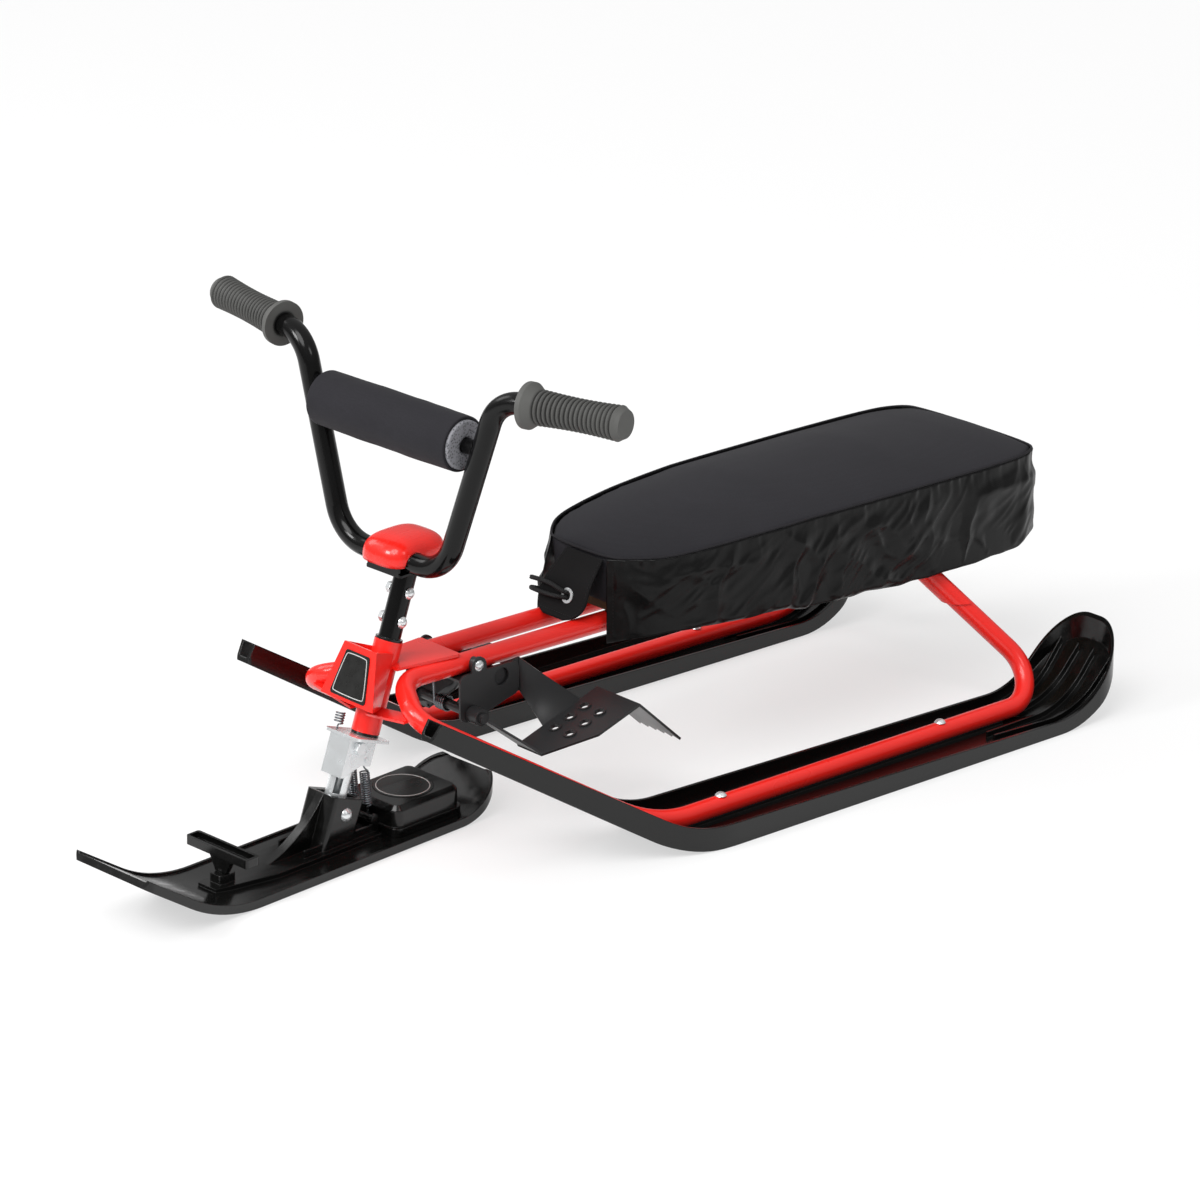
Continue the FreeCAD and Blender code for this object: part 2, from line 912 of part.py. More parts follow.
def head_box():
    outer = Part.makeLoft([
        box_loop(box_bottom_half, box_bottom, 0),
        box_loop(box_top_half, box_top, 0),
    ], True, True)
    rise = (box_bottom_half - box_top_half) / (box_top - box_bottom) * overrun
    inner = Part.makeLoft([
        box_loop(box_bottom_half + rise, box_bottom - overrun, box_sheet),
        box_loop(box_top_half - rise, box_top + overrun, box_sheet),
    ], True, True)
    tube = rod(Vector(0, 0, head_bottom), along_z, head_od / 2, head_length)
    shell = outer.cut(inner).cut(tube)
    back = block(-box_bottom_half, box_bottom_half, -box_sheet, box_front, box_bottom, box_top)
    box = raked(shell.cut(back).Solids[0])
    for piece in nose_rods():
        box = box.cut(piece).cut(mirrored(piece))
    return box


def head_badge():
    corners = [
        Vector(-badge_bottom_half, -box_front, badge_bottom),
        Vector(badge_bottom_half, -box_front, badge_bottom),
        Vector(badge_top_half, -box_front, badge_top),
        Vector(-badge_top_half, -box_front, badge_top),
    ]
    return raked(loop_prism(corners, [badge_corner_r] * 4, along_y * -badge_thickness))


def head_envelope():
    """Solid rod of the head tube, used to shape what is welded to it."""
    return raked(rod(Vector(0, 0, head_bottom), along_z, head_od / 2, head_length))


def top_gusset():
    corners = [
        (-gusset_front_half, gusset_front_y), (gusset_front_half, gusset_front_y),
        (gusset_rear_half, gusset_rear_y), (-gusset_rear_half, gusset_rear_y),
    ]
    plate = loop_prism(plan(rail_z, corners), [badge_corner_r] * 4, along_z * sheet)
    return plate.cut(head_envelope()).cut(raked(block(
        -box_bottom_half, box_bottom_half, -box_bottom_half, 0, box_bottom, box_top)))


def strap_loop(x, y, z):
    half = strap_width / 2
    return Part.makePolygon([
        Vector(x, y - half, z), Vector(x, y + half, z),
        Vector(x, y + half, z + strap_sheet), Vector(x, y - half, z + strap_sheet),
        Vector(x, y - half, z),
    ])


def lower_straps():
    """Two flat straps from the head tube out to the nose bends of the frame tubes."""
    strap = Part.makeLoft([
        strap_loop(strap_root_x, strap_root_y, strap_root_z),
        strap_loop(strap_end_x, strap_end_y, strap_end_z),
    ], True, True)
    return both_sides(strap.cut(head_envelope()).cut(frame_rod(tube_r)))


# Seat carriers

def seat_bolt_places():
    places = []
    for y in (front_rail_y, rear_bolt_y):
        for x in (-seat_bolt_x, seat_bolt_x):
            places.append(Vector(x, y, 0))
    return places


def bolted(shape):
    for place in seat_bolt_places():
        start = place + along_z * (rail_z - overrun)
        length = sheet + board_thickness + overrun + overrun
        shape = shape.cut(rod(start, along_z, seat_bolt_shank_r + seat_bolt_hole_fit, length))
    return shape


def seat_rail(y, width, half):
    return bolted(rounded_block(half, y - width / 2, y + width / 2, rail_z, rail_z + sheet, badge_corner_r))


def seat_bolts():
    bolts = []
    for place in seat_bolt_places():
        under = place + along_z * rail_z
        shank = rod(under, along_z, seat_bolt_shank_r, sheet + board_thickness - stand_off)
        bolts.append(shank.fuse(dome(under, along_z * -1, seat_bolt_head_r, seat_bolt_head_height)))
    return Part.makeCompound(bolts)


def seat_stay_left():
    """Half-round channel that hugs the front of the rear leg."""
    path = frame_path()
    foot = path[4]
    top = path[5]
    along = unit(top - foot)
    length = (top - foot).Length
    shell = rod(foot, along, tube_r + stay_wall, length).cut(rod(foot, along, tube_r, length))
    forward = unit(along.cross(along_y).cross(along)) * -1
    sideways = unit(forward.cross(along))
    keep = Part.makeBox(tube_od + tube_od, tube_od, length)
    frame = Placement(foot, Rotation(sideways, forward, along, "ZXY"))
    keep.Placement = frame.multiply(Placement(Vector(-tube_od, 0, 0), Rotation()))
    band = block(0, runner_x, 0, runner_rear_y, stay_bottom_z, rail_z)
    return shell.common(keep).common(band)


# Seat

def seat_outline(offset):
    """Half widths along the seat, front to rear, as pairs of place and half width."""
    pairs = []
    for place, half in zip(seat_place_shares, seat_half_shares):
        pairs.append((seat_front_y + seat_length * place, seat_half * half + offset))
    return pairs


def seat_loop(z, offset):
    """Closed seat outline in plan."""
    pairs = seat_outline(offset)
    pairs[0] = (pairs[0][0] - offset, pairs[0][1])
    pairs[-1] = (pairs[-1][0] + offset, pairs[-1][1])
    right = [(half, y) for y, half in pairs]
    left = [(-half, y) for y, half in reversed(pairs)]
    return plan(z, right + left)


def seat_board():
    return bolted(sheet_prism(seat_loop(board_z, -board_inset), along_z * board_thickness))


def seat_cushion():
    """Crowned pad with drawn-in sides, lofted through sections from front to rear."""
    sections = []
    outline = seat_outline(-cushion_inset)
    for (y, half), crown, drop in zip(outline, cushion_crown_shares, seam_drop_shares):
        waist = half - cushion_draw
        seam_z = cushion_seam_z - seam_drop * drop
        middle_z = (cushion_z + seam_z) / 2
        low_right = Vector(half, y, cushion_z)
        high_right = Vector(half, y, seam_z)
        low_left = Vector(-half, y, cushion_z)
        high_left = Vector(-half, y, seam_z)
        peak = Vector(0, y, seam_z + cushion_crown * crown)
        sections.append(Part.Wire([
            Part.LineSegment(low_left, low_right).toShape(),
            Part.Arc(low_right, Vector(waist, y, middle_z), high_right).toShape(),
            Part.Arc(high_right, peak, high_left).toShape(),
            Part.Arc(high_left, Vector(-waist, y, middle_z), low_left).toShape(),
        ]))
    return Part.makeLoft(sections, True, True)


def skirt_line():
    """Plan points and outward directions along the seat outline, from front corner to front corner."""
    corners = [Vector(p) for p in seat_loop(0, skirt_gap)]
    points = []
    for start, end in zip(corners, corners[1:]):
        parts = math.ceil((end - start).Length / skirt_spacing)
        for i in range(parts):
            points.append(start + (end - start) * (i / parts))
    points.append(corners[-1])
    line = []
    for i, point in enumerate(points):
        ahead = points[min(i + 1, len(points) - 1)] - points[max(i - 1, 0)]
        line.append((point, unit(ahead.cross(along_z))))
    return line


def skirt_loop(z, flare, fold):
    outer = []
    inner = []
    for i, (point, out) in enumerate(skirt_line()):
        share = skirt_fold_shares[i % len(skirt_fold_shares)]
        base = point + out * (flare + fold * share) + along_z * z
        inner.append(base)
        outer.append(base + out * cloth)
    points = outer + inner[::-1]
    return Part.makePolygon(points + [points[0]])


def seat_skirt():
    """Cloth band that hangs from the seam in soft folds, with a hem that falls toward the rear."""
    band = Part.makeLoft([
        skirt_loop(skirt_low_z, skirt_flare, skirt_fold),
        skirt_loop(cushion_seam_z + overrun, 0, 0),
    ], True, True)
    near_y = seat_front_y - seat_half
    far_y = seat_front_y + seat_length + seat_half
    reach = seat_half + seat_half
    below = sheet_prism(side(-reach, [
        (near_y, skirt_low_z - overrun),
        (far_y, skirt_low_z - overrun),
        (far_y, hem_rear_z),
        (hem_middle_y, hem_middle_z),
        (near_y, hem_front_z),
    ]), along_x * (reach + reach))
    seam = []
    for (y, half), drop in zip(seat_outline(0), seam_drop_shares):
        seam.append((y, cushion_seam_z - seam_drop * drop))
    above = sheet_prism(side(-reach, [(near_y, seam[0][1])] + seam + [
        (far_y, seam[-1][1]), (far_y, seam[-1][1] + seat_half), (near_y, seam[-1][1] + seat_half),
    ]), along_x * (reach + reach))
    return band.cut(below).cut(above)


def flap_profile():
    return [
        Vector(0, flap_top_y, flap_top_z),
        Vector(0, flap_knee_y, flap_knee_z),
        Vector(0, flap_end_y, flap_end_z),
    ]


def flap_at(z):
    """Point on the inner face of the lower flap at one height, and the way out of it."""
    knee, end = flap_profile()[1:]
    share = (knee.z - z) / (knee.z - end.z)
    down = unit(end - knee)
    return knee + (end - knee) * share, along_x.cross(down) * -1


def seat_flap():
    points = flap_profile()
    band = profile_band(points, [flap_knee_r], [0] * 3, [-cloth] * 3, flap_half)
    front = [
        (-flap_half, flap_end_z - cloth - cloth), (flap_half, flap_end_z - cloth - cloth),
        (flap_half, flap_top_z + cloth), (-flap_half, flap_top_z + cloth),
    ]
    outline = loop_prism(
        [Vector(x, flap_end_y - overrun - cloth, z) for x, z in front],
        [flap_corner_r, flap_corner_r, cloth, cloth],
        along_y * (flap_top_y - flap_end_y + overrun + overrun + cloth),
    )
    point, out = flap_at(eyelet_z)
    hole = rod(point + along_x * eyelet_x - out * overrun, out, eyelet_bore_r, cloth + overrun + overrun)
    return band.common(outline).cut(hole)


def flap_eyelet():
    point, out = flap_at(eyelet_z)
    start = point + along_x * eyelet_x + out * cloth
    ring = rod(start, out, eyelet_r, eyelet_thickness)
    return ring.cut(rod(start, out, eyelet_bore_r, eyelet_thickness))


def drawstring_paths():
    """Two strands out through the eyelet: one ends past the far edge, one wraps round it."""
    point, out = flap_at(eyelet_z)
    lift = cloth + eyelet_thickness + cord_r + hook_gap
    behind = cord_r + cord_wrap_gap
    down = along_x.cross(out)
    spread = down * (cord_r + hook_gap / 2)
    upper = point + along_x * eyelet_x - spread
    lower = point + along_x * eyelet_x + spread
    edge_x = -flap_half - cord_r - cord_wrap_gap
    free_end = point - along_x * (flap_half + cord_end_past) - spread - down * cord_drop
    turn = point + along_x * edge_x + spread + down * cord_drop
    return [
        [upper - out * behind, upper + out * lift, free_end + out * lift],
        [lower - out * behind, lower + out * lift, turn + out * lift, turn - out * (behind + cord_bend_r)],
    ]


def seat_drawstring():
    return Part.makeCompound([
        pipe(path, [cord_bend_r] * (len(path) - 2), cord_r) for path in drawstring_paths()
    ])


# Foot brake

def brake_bracket():
    """Two side plates hung from the top tubes and joined by a bridge under them."""
    x = bracket_x
    plate = loop_prism(side(x, [
        (bracket_front_y, bracket_low_z), (bracket_rear_y, bracket_rear_low_z),
        (bracket_rear_y, bracket_top_z), (bracket_front_y, bracket_top_z),
    ]), [bracket_corner_r] * 4, along_x * brake_sheet)
    tab_low = top_run_z - bracket_tab_r - bracket_tab_r
    tab_front = bracket_tab_y - bracket_tab_r
    tab_rear = bracket_tab_y + bracket_tab_r
    tab = block(x, x + brake_sheet, tab_front, tab_rear, tab_low, top_run_z)
    eye = rod(Vector(x, bracket_tab_y, top_run_z), along_x, bracket_tab_r, brake_sheet)
    boss = rod(Vector(top_run_x, bracket_tab_y, top_run_z), along_x, bracket_boss_r, x - top_run_x)
    notch = rod(Vector(x - overrun, notch_y, notch_z), along_x, notch_r, brake_sheet + overrun + overrun)
    bridge_top = top_run_z - tube_r - bridge_drop
    bridge = block(0, x, bridge_front_y, bridge_rear_y, bridge_top - brake_sheet, bridge_top)
    half = fused([plate, tab, eye, boss, bridge]).cut(notch).cut(frame_rod(tube_r))
    half = half.cut(rod(Vector(0, shaft_y, shaft_z), along_x, shaft_r + running_fit, shaft_half))
    half = half.cut(rivet_hole())
    return half.fuse(mirrored(half)).removeSplitter()


def brake_rivets():
    inner_x = top_run_x + tube_r - tube_wall - overrun
    outer_x = bracket_x + brake_sheet
    shank = rod(Vector(inner_x, bracket_tab_y, top_run_z), along_x, rivet_shank_r, outer_x - inner_x)
    head = dome(Vector(outer_x, bracket_tab_y, top_run_z), along_x, rivet_head_r, rivet_head_height)
    return both_sides(shank.fuse(head))


def web_x():
    """Inner face of the left pedal web, just inside the bracket plate."""
    return bracket_x - web_gap - brake_sheet


def pad_point(x, y):
    share = (y - pad_front_y) / (pad_rear_y - pad_front_y)
    return Vector(x, y, pad_front_z + (pad_rear_z - pad_front_z) * share)


def pad_up():
    return along_x.cross(unit(pad_point(0, pad_rear_y) - pad_point(0, pad_front_y)))


def brake_pad():
    """Foot plate, narrower in front so that it swings down inside the runner."""
    top = [
        pad_point(pad_inner_x, pad_front_y), pad_point(arm_pad_outer_x, pad_front_y),
        pad_point(pad_outer_x, pad_widest_y), pad_point(pad_outer_x, pad_rear_y),
        pad_point(pad_inner_x, pad_rear_y),
    ]
    return sheet_prism(top, pad_up() * -brake_sheet)


def brake_claw():
    """Toothed plate bent down behind the pad."""
    start = Vector(claw_inner_x, pad_rear_y, pad_rear_z)
    end = Vector(claw_inner_x, claw_tip_y, claw_tip_z)
    along = unit(end - start)
    wide = pad_outer_x - claw_inner_x
    points = [start, end]
    for i in range(claw_teeth):
        root = (i + 1) / claw_teeth
        points.append(end + along_x * (wide * (i + 0.5) / claw_teeth) - along * claw_tooth_depth)
        points.append(end + along_x * (wide * root))
    points.append(start + along_x * wide)
    return sheet_prism(points, along_x.cross(along) * -brake_sheet)


def pedal_neck():
    """Sloping sheet that joins the web to the inner edge of the pad."""
    low = Vector(web_x() + brake_sheet / 2, web_rear_y, web_rear_low_z)
    high = Vector(low.x, web_rear_y, web_rear_high_z)
    front = pad_point(pad_inner_x, neck_front_y)
    rear = pad_point(pad_inner_x, neck_rear_y)
    way = front + rear - low - high
    out = unit(way.cross(along_z)) * brake_sheet
    down = pad_up() * -brake_sheet
    root = [low, low + out, high + out, high]
    edge = [front + down, front, rear, rear + down]
    return Part.makeLoft([Part.makePolygon(root + root[:1]), Part.makePolygon(edge + edge[:1])], True, True)


def pedal_arm():
    """Tapered sheet from the eye on the shaft down to the front edge of the pad."""
    eye = Vector(0, shaft_y, shaft_z)
    front = pad_point(0, pad_front_y + brake_sheet)
    up = along_x.cross(unit(front - eye)) * (brake_sheet / 2)
    root = [
        eye + along_x * arm_eye_x - up, eye + along_x * arm_eye_end_x - up,
        eye + along_x * arm_eye_end_x + up, eye + along_x * arm_eye_x + up,
    ]
    edge = [
        front + along_x * arm_pad_inner_x - up - up, front + along_x * arm_pad_outer_x - up - up,
        front + along_x * arm_pad_outer_x, front + along_x * arm_pad_inner_x,
    ]
    return Part.makeLoft([Part.makePolygon(root + root[:1]), Part.makePolygon(edge + edge[:1])], True, True)


def pad_hole_places():
    along = unit(pad_point(0, pad_rear_y) - pad_point(0, pad_front_y))
    places = []
    for row in range(3):
        for column in range(2):
            start = pad_point(pad_hole_first_x + pad_hole_x_pitch * column, pad_front_y)
            places.append(start + along * (pad_hole_first + pad_hole_pitch * row))
    return places


def brake_pedal_left():
    x = web_x()
    web = sheet_prism(side(x, [
        (web_front_y, web_front_low_z), (web_low_y, web_low_z), (web_rear_y, web_rear_low_z),
        (web_rear_y, web_rear_high_z), (web_crown_y, web_crown_z), (web_front_y, web_front_high_z),
    ]), along_x * brake_sheet)
    eye = rod(Vector(arm_eye_x, shaft_y, shaft_z), along_x, arm_eye_r, arm_eye_end_x - arm_eye_x)
    collars = [rod(place, pad_up(), pad_collar_r, pad_collar_height) for place in pad_hole_places()]
    pedal = fused([web, brake_pad(), pedal_neck(), brake_claw(), pedal_arm(), eye] + collars)
    for place in pad_hole_places():
        start = place - pad_up() * (brake_sheet + overrun)
        depth = brake_sheet + pad_collar_height + overrun + overrun
        pedal = pedal.cut(rod(start, pad_up(), pad_hole_r, depth))
    return pedal.cut(cross_rod(shaft_r + bush_press_gap, shaft_y, shaft_z, shaft_half + overrun))


def brake_shaft():
    return cross_rod(shaft_r, shaft_y, shaft_z, shaft_half)


def brake_tie_rod():
    half = web_x()
    return cross_rod(tie_rod_r, notch_y, notch_z, half).cut(
        cross_rod(tie_rod_r - tie_rod_wall, notch_y, notch_z, half))


def brake_spring():
    """Torsion spring on the shaft, one leg up to the bridge and one back under the tie rod."""
    radius = shaft_r + brake_coil_gap + brake_wire_r
    rod_way = Vector(0, notch_y - shaft_y, notch_z - shaft_z)
    clear = tie_rod_r + brake_wire_r + hook_gap
    slope = math.atan2(rod_way.z, rod_way.y) - math.asin((clear - radius) / rod_way.Length)
    sweep = 0.25 + slope / math.tau + brake_coil_turns
    centre = Vector(-brake_coil_pitch * sweep / 2, shaft_y, shaft_z)
    stations = coil_stations(centre, along_x, along_y, radius, brake_coil_pitch, 0.5, sweep)
    bridge_low = top_run_z - tube_r - bridge_drop - brake_sheet
    first = stations[0][1]
    lead = (bridge_low - hook_gap - shaft_z) / -first.z
    tail = rod_way.Length + brake_leg_past
    return coil_spring("brake_spring", stations, lead, tail, brake_wire_r, radius)


# Steering

def axis_tube(low, high, outer, bore):
    start = Vector(0, 0, low)
    return rod(start, along_z, outer / 2, high - low).cut(rod(start, along_z, bore / 2, high - low))


def column_bolt_levels():
    return (column_bolt_low, column_bolt_high)


def column_drilled(shape):
    for level in column_bolt_levels():
        shape = shape.cut(cross_rod(column_bolt_r + bolt_hole_fit, 0, level, column_od))
    return shape


def steering_tube():
    bore = steer_tube_od - steer_tube_wall - steer_tube_wall
    return raked(column_drilled(axis_tube(flange_low, steer_tube_top, steer_tube_od, bore)))


def steering_column():
    bore = steer_tube_od + column_slip + column_slip
    high = (cradle_z + column_od) / rake_cos
    tube = raked(column_drilled(axis_tube(column_low, high, column_od, bore)))
    above = block(-column_od, column_od, axis_ground_y, 0, cradle_z, cradle_z + column_od + column_od)
    return tube.cut(above)


def column_bolts():
    bolts = []
    half = column_od / 2
    for level in column_bolt_levels():
        end = half + column_nut_height + overrun
        shank = rod(Vector(-end, 0, level), along_x, column_bolt_r, end + half + stand_off)
        seat = Vector(half + stand_off, 0, level)
        head = dome(seat, along_x, column_bolt_head_r, column_bolt_head_height)
        bolts.append(raked(shank.fuse(head)))
    return Part.makeCompound(bolts)


def column_nuts():
    nuts = []
    half = column_od / 2 + stand_off
    for level in column_bolt_levels():
        nut = hexagon(Vector(-half, 0, level), along_x * -1, column_nut_r, column_nut_height)
        nut = nut.cut(cross_rod(column_bolt_r + bush_press_gap, 0, level, column_od))
        nuts.append(raked(nut))
    return Part.makeCompound(nuts)


def cap_screw_places():
    return [Vector(-cap_post_x, cap_post_y, 0), Vector(cap_post_x, cap_post_y, 0)]


def bar_cradle():
    tray_top = cradle_z + cradle_sheet
    tray = rounded_block(cradle_half, cradle_front_y, cradle_rear_y, cradle_z, tray_top, badge_corner_r)
    lip = block(
        -cradle_half + badge_corner_r, cradle_half - badge_corner_r,
        cradle_front_y, cradle_front_y + cradle_sheet,
        cradle_z, tray_top + cradle_lip_height,
    )
    tray = tray.fuse(lip).removeSplitter()
    for place in cap_screw_places():
        start = place + along_z * (cradle_z - overrun)
        tray = tray.cut(rod(start, along_z, cap_screw_r + cap_screw_fit, cradle_sheet + overrun + overrun))
    return tray


def cap_shell(inset):
    """Crowned cap body, its outside or the hollow inside it."""
    def loop(half, front, rear, z, radius):
        corners = [(-half, front), (half, front), (half, rear), (-half, rear)]
        return round_loop(plan(z, corners), [radius] * 4)
    half = cap_half - inset
    front = cap_front_y + inset
    rear = cap_rear_y - inset
    radius = cap_corner_r - inset
    low = cap_bottom_z - (overrun if inset else 0)
    wall = along_z * (cap_shoulder_z - inset - low)
    skirt = Part.Face(loop(half, front, rear, low, radius)).extrude(wall)
    crown = Part.makeLoft([
        loop(half, front, rear, cap_shoulder_z - inset, radius),
        loop(half - cap_crown_inset, front + cap_crown_inset, rear - cap_crown_inset,
             cap_top_z - inset, cap_crown_corner_r - inset),
    ], True, True)
    return skirt.fuse(crown).removeSplitter()


def bar_cap():
    shell = cap_shell(0).cut(cap_shell(cap_wall))
    posts = []
    for place in cap_screw_places():
        start = place + along_z * (cradle_z + cradle_sheet + hook_gap)
        post = rod(start, along_z, cap_post_r, cap_top_z - cradle_z)
        posts.append(post.common(cap_shell(0).fuse(block(
            -cap_half, cap_half, cap_front_y, cap_rear_y, cradle_z, cap_bottom_z))))
    tab_front = cap_rear_y - cap_tab_sheet
    tab = block(-cap_tab_half, cap_tab_half, tab_front, cap_rear_y, cap_tab_low_z, cap_shoulder_z)
    cap = fused([shell, tab] + posts)
    notch_r = bar_r + cap_notch_gap
    reach = cap_half + overrun
    notch = cross_rod(notch_r, bar_y, bar_z, reach)
    slot = block(-reach, reach, bar_y - notch_r, bar_y + notch_r, cap_bottom_z - notch_r, bar_z)
    cap = cap.cut(notch).cut(slot)
    for place in cap_screw_places():
        start = place + along_z * (cradle_z - overrun)
        depth = cap_screw_length + overrun + stand_off
        cap = cap.cut(rod(start, along_z, cap_screw_r + cap_screw_fit, depth))
    return cap


def cap_screws():
    screws = []
    for place in cap_screw_places():
        under = place + along_z * cradle_z
        shank = rod(under, along_z, cap_screw_r, cap_screw_length)
        screws.append(shank.fuse(dome(under, along_z * -1, cap_screw_head_r, cap_screw_head_height)))
    return Part.makeCompound(screws)


def bar_path():
    right = [
        Vector(bar_base_x, bar_y, bar_z),
        Vector(bar_top_x, bar_top_y, bar_top_z),
        Vector(bar_end_x, bar_end_y, bar_end_z),
    ]
    left = [Vector(-p.x, p.y, p.z) for p in reversed(right)]
    return left + right


bar_radii = [bar_top_bend_r, bar_base_bend_r, bar_base_bend_r, bar_top_bend_r]


def handlebar():
    return bent_tube(bar_path(), bar_radii, bar_od, bar_wall)


def crossbar_y():
    share = (crossbar_z - bar_z) / (bar_top_z - bar_z)
    return bar_y + (bar_top_y - bar_y) * share


def crossbar():
    bar = cross_rod(crossbar_od / 2, crossbar_y(), crossbar_z, bar_top_x)
    bar = bar.cut(cross_rod(crossbar_od / 2 - crossbar_wall, crossbar_y(), crossbar_z, bar_top_x))
    pieces = bar.cut(pipe(bar_path(), bar_radii, bar_r)).Solids
    return max(pieces, key=lambda piece: piece.Volume)


def pad_sleeve(short, outer, bore):
    """Sleeve on the crossbar, pushed up against the right-hand riser and notched by it."""
    start = Vector(short - pad_far_reach, crossbar_y(), crossbar_z)
    length = pad_near_reach + pad_far_reach - short - short
    sleeve = rod(start, along_x, outer / 2, length).cut(rod(start, along_x, bore / 2, length))
    return sleeve.cut(pipe(bar_path(), bar_radii, bar_r + pad_bore_gap))


def pad_foam():
    return pad_sleeve(0, pad_foam_od, crossbar_od + pad_bore_gap)


def pad_cover():
    return pad_sleeve(pad_cover_short, pad_cover_od, pad_foam_od + pad_cover_gap)


def grip_left():
    """Ringed rubber grip with a broad inner flange, turned about the bar end."""
    top, end = bar_path()[-2:]
    along = unit(end - top)
    length = grip_length - grip_flange_thickness
    profile = [(0, 0), (grip_flange_r, 0), (grip_flange_r, grip_flange_thickness)]
    pitch = (length - grip_ring_start - grip_end_cap) / grip_rings
    for i in range(grip_rings):
        share = (i + 0.5) / grip_rings
        body = grip_body_r - grip_waist * math.sin(math.pi * share)
        start = grip_flange_thickness + grip_ring_start + pitch * i
        profile.append((body, start))
        profile.append((body + grip_ring_height, start + pitch / 2))
    profile.append((grip_body_r, grip_length - grip_end_cap))
    profile.append((grip_body_r - grip_end_cap / 2, grip_length))
    profile.append((0, grip_length))
    points = [Vector(r, 0, s) for r, s in profile]
    solid = Part.Face(Part.makePolygon(points + [points[0]])).revolve(Vector(0, 0, 0), along_z, 360)
    bore = rod(Vector(0, 0, -overrun), along_z, bar_r + grip_bore_fit, grip_length - grip_end_cap + overrun)
    grip = solid.cut(bore)
    start = end - along * (grip_length - grip_end_cap - stand_off)
    grip.Placement = Placement(start, Rotation(along_z, along))
    return grip


# Fork

def fork_bracket():
    """Flange under the head with a folded channel that holds the leg."""
    corners = [
        (-flange_half, -flange_front), (flange_half, -flange_front),
        (flange_half, flange_rear), (-flange_half, flange_rear),
    ]
    flange = loop_prism(plan(flange_low, corners), [flange_corner_r] * 4, along_z * flange_thickness)
    inner = leg_r + leg_slip
    outer = inner + channel_sheet
    front_back = -leg_forward - inner
    front = block(-outer, outer, front_back - channel_sheet, front_back, channel_bottom, flange_low)
    cheek = sheet_prism(side(inner, [
        (front_back - channel_sheet, channel_bottom), (front_back, channel_bottom),
        (-spring_pin_back - spring_pin_ear_r, channel_side_low), (channel_side_rear, channel_side_low),
        (channel_side_rear, flange_low), (front_back - channel_sheet, flange_low),
    ]), along_x * channel_sheet)
    pin = cross_rod(spring_pin_r, -spring_pin_back, spring_pin_along, spring_pin_half)
    bracket = fused([flange, front, cheek, mirrored(cheek), pin])
    tube = rod(Vector(0, 0, flange_low), along_z, steer_tube_od / 2, head_bottom)
    bracket = bracket.cut(tube)
    hole = cross_rod(fork_bolt_r + bolt_hole_fit, -leg_forward, fork_bolt_along, flange_half)
    return raked(bracket.cut(hole))


def fork_leg():
    """Slotted tube that hangs in the channel and ends in the tower of the ski."""
    low = pivot_along - leg_below_pivot
    tube = axis_tube(low, leg_top, leg_od, leg_od - leg_wall - leg_wall)
    tube.translate(along_y * -leg_forward)
    slot = block(-leg_slot_width / 2, leg_slot_width / 2, -leg_od, 0, leg_slot_low, leg_slot_high)
    slot.rotate(Vector(0, 0, 0), along_z, leg_slot_turn)
    slot.translate(Vector(0, -leg_forward, 0))
    tube = tube.cut(slot)
    tube = tube.cut(cross_rod(fork_bolt_r + bolt_hole_fit, -leg_forward, fork_bolt_along, flange_half))
    tube = tube.cut(cross_rod(pivot_r + running_fit, -leg_forward, pivot_along, flange_half))
    return raked(tube)


def fork_bolt():
    half = leg_r + leg_slip + channel_sheet
    end = half + fork_nut_height + overrun
    shank = rod(Vector(-end, -leg_forward, fork_bolt_along), along_x, fork_bolt_r, end + half)
    seat = Vector(half, -leg_forward, fork_bolt_along)
    head = hexagon(seat, along_x, fork_bolt_head_r, fork_bolt_head_height)
    return raked(shank.fuse(head))


def side_nut(half, along, bolt_r, radius, height):
    """Nut on the right-hand end of a bolt across the leg."""
    start = Vector(-half, -leg_forward, along)
    nut = hexagon(start, along_x * -1, radius, height)
    return raked(nut.cut(rod(start, along_x * -1, bolt_r + bush_press_gap, height + overrun)))


def fork_nut():
    half = leg_r + leg_slip + channel_sheet
    return side_nut(half, fork_bolt_along, fork_bolt_r, fork_nut_r, fork_nut_height)


def buffer_spring():
    """Short open coil that stands on the flange in front of the head."""
    foot = raked_point(buffer_x, -buffer_forward, flange_top + hook_gap)
    across = along_x
    lead = buffer_wire_r + buffer_wire_r
    rise = foot + head_axis * (lead + buffer_coil_r)
    stations = [(foot + head_axis * lead, head_axis)]
    stations += coil_stations(rise, head_axis, across, buffer_coil_r, buffer_pitch, 0, buffer_turns)
    return coil_spring("buffer_spring", stations, lead, lead, buffer_wire_r, buffer_coil_r)


# Front ski

def nose_profile():
    return side(0, [
        (nose_tip_y, nose_tip_z + front_lift),
        (nose_front_bend_y, front_lift),
        (nose_tail_bend_y, front_lift),
        (nose_tail_y, nose_tail_z + front_lift),
    ])


def nose_band(low, high):
    return profile_band(nose_profile(), [nose_front_r, nose_tail_r], [low] * 4, [high] * 4, nose_width)


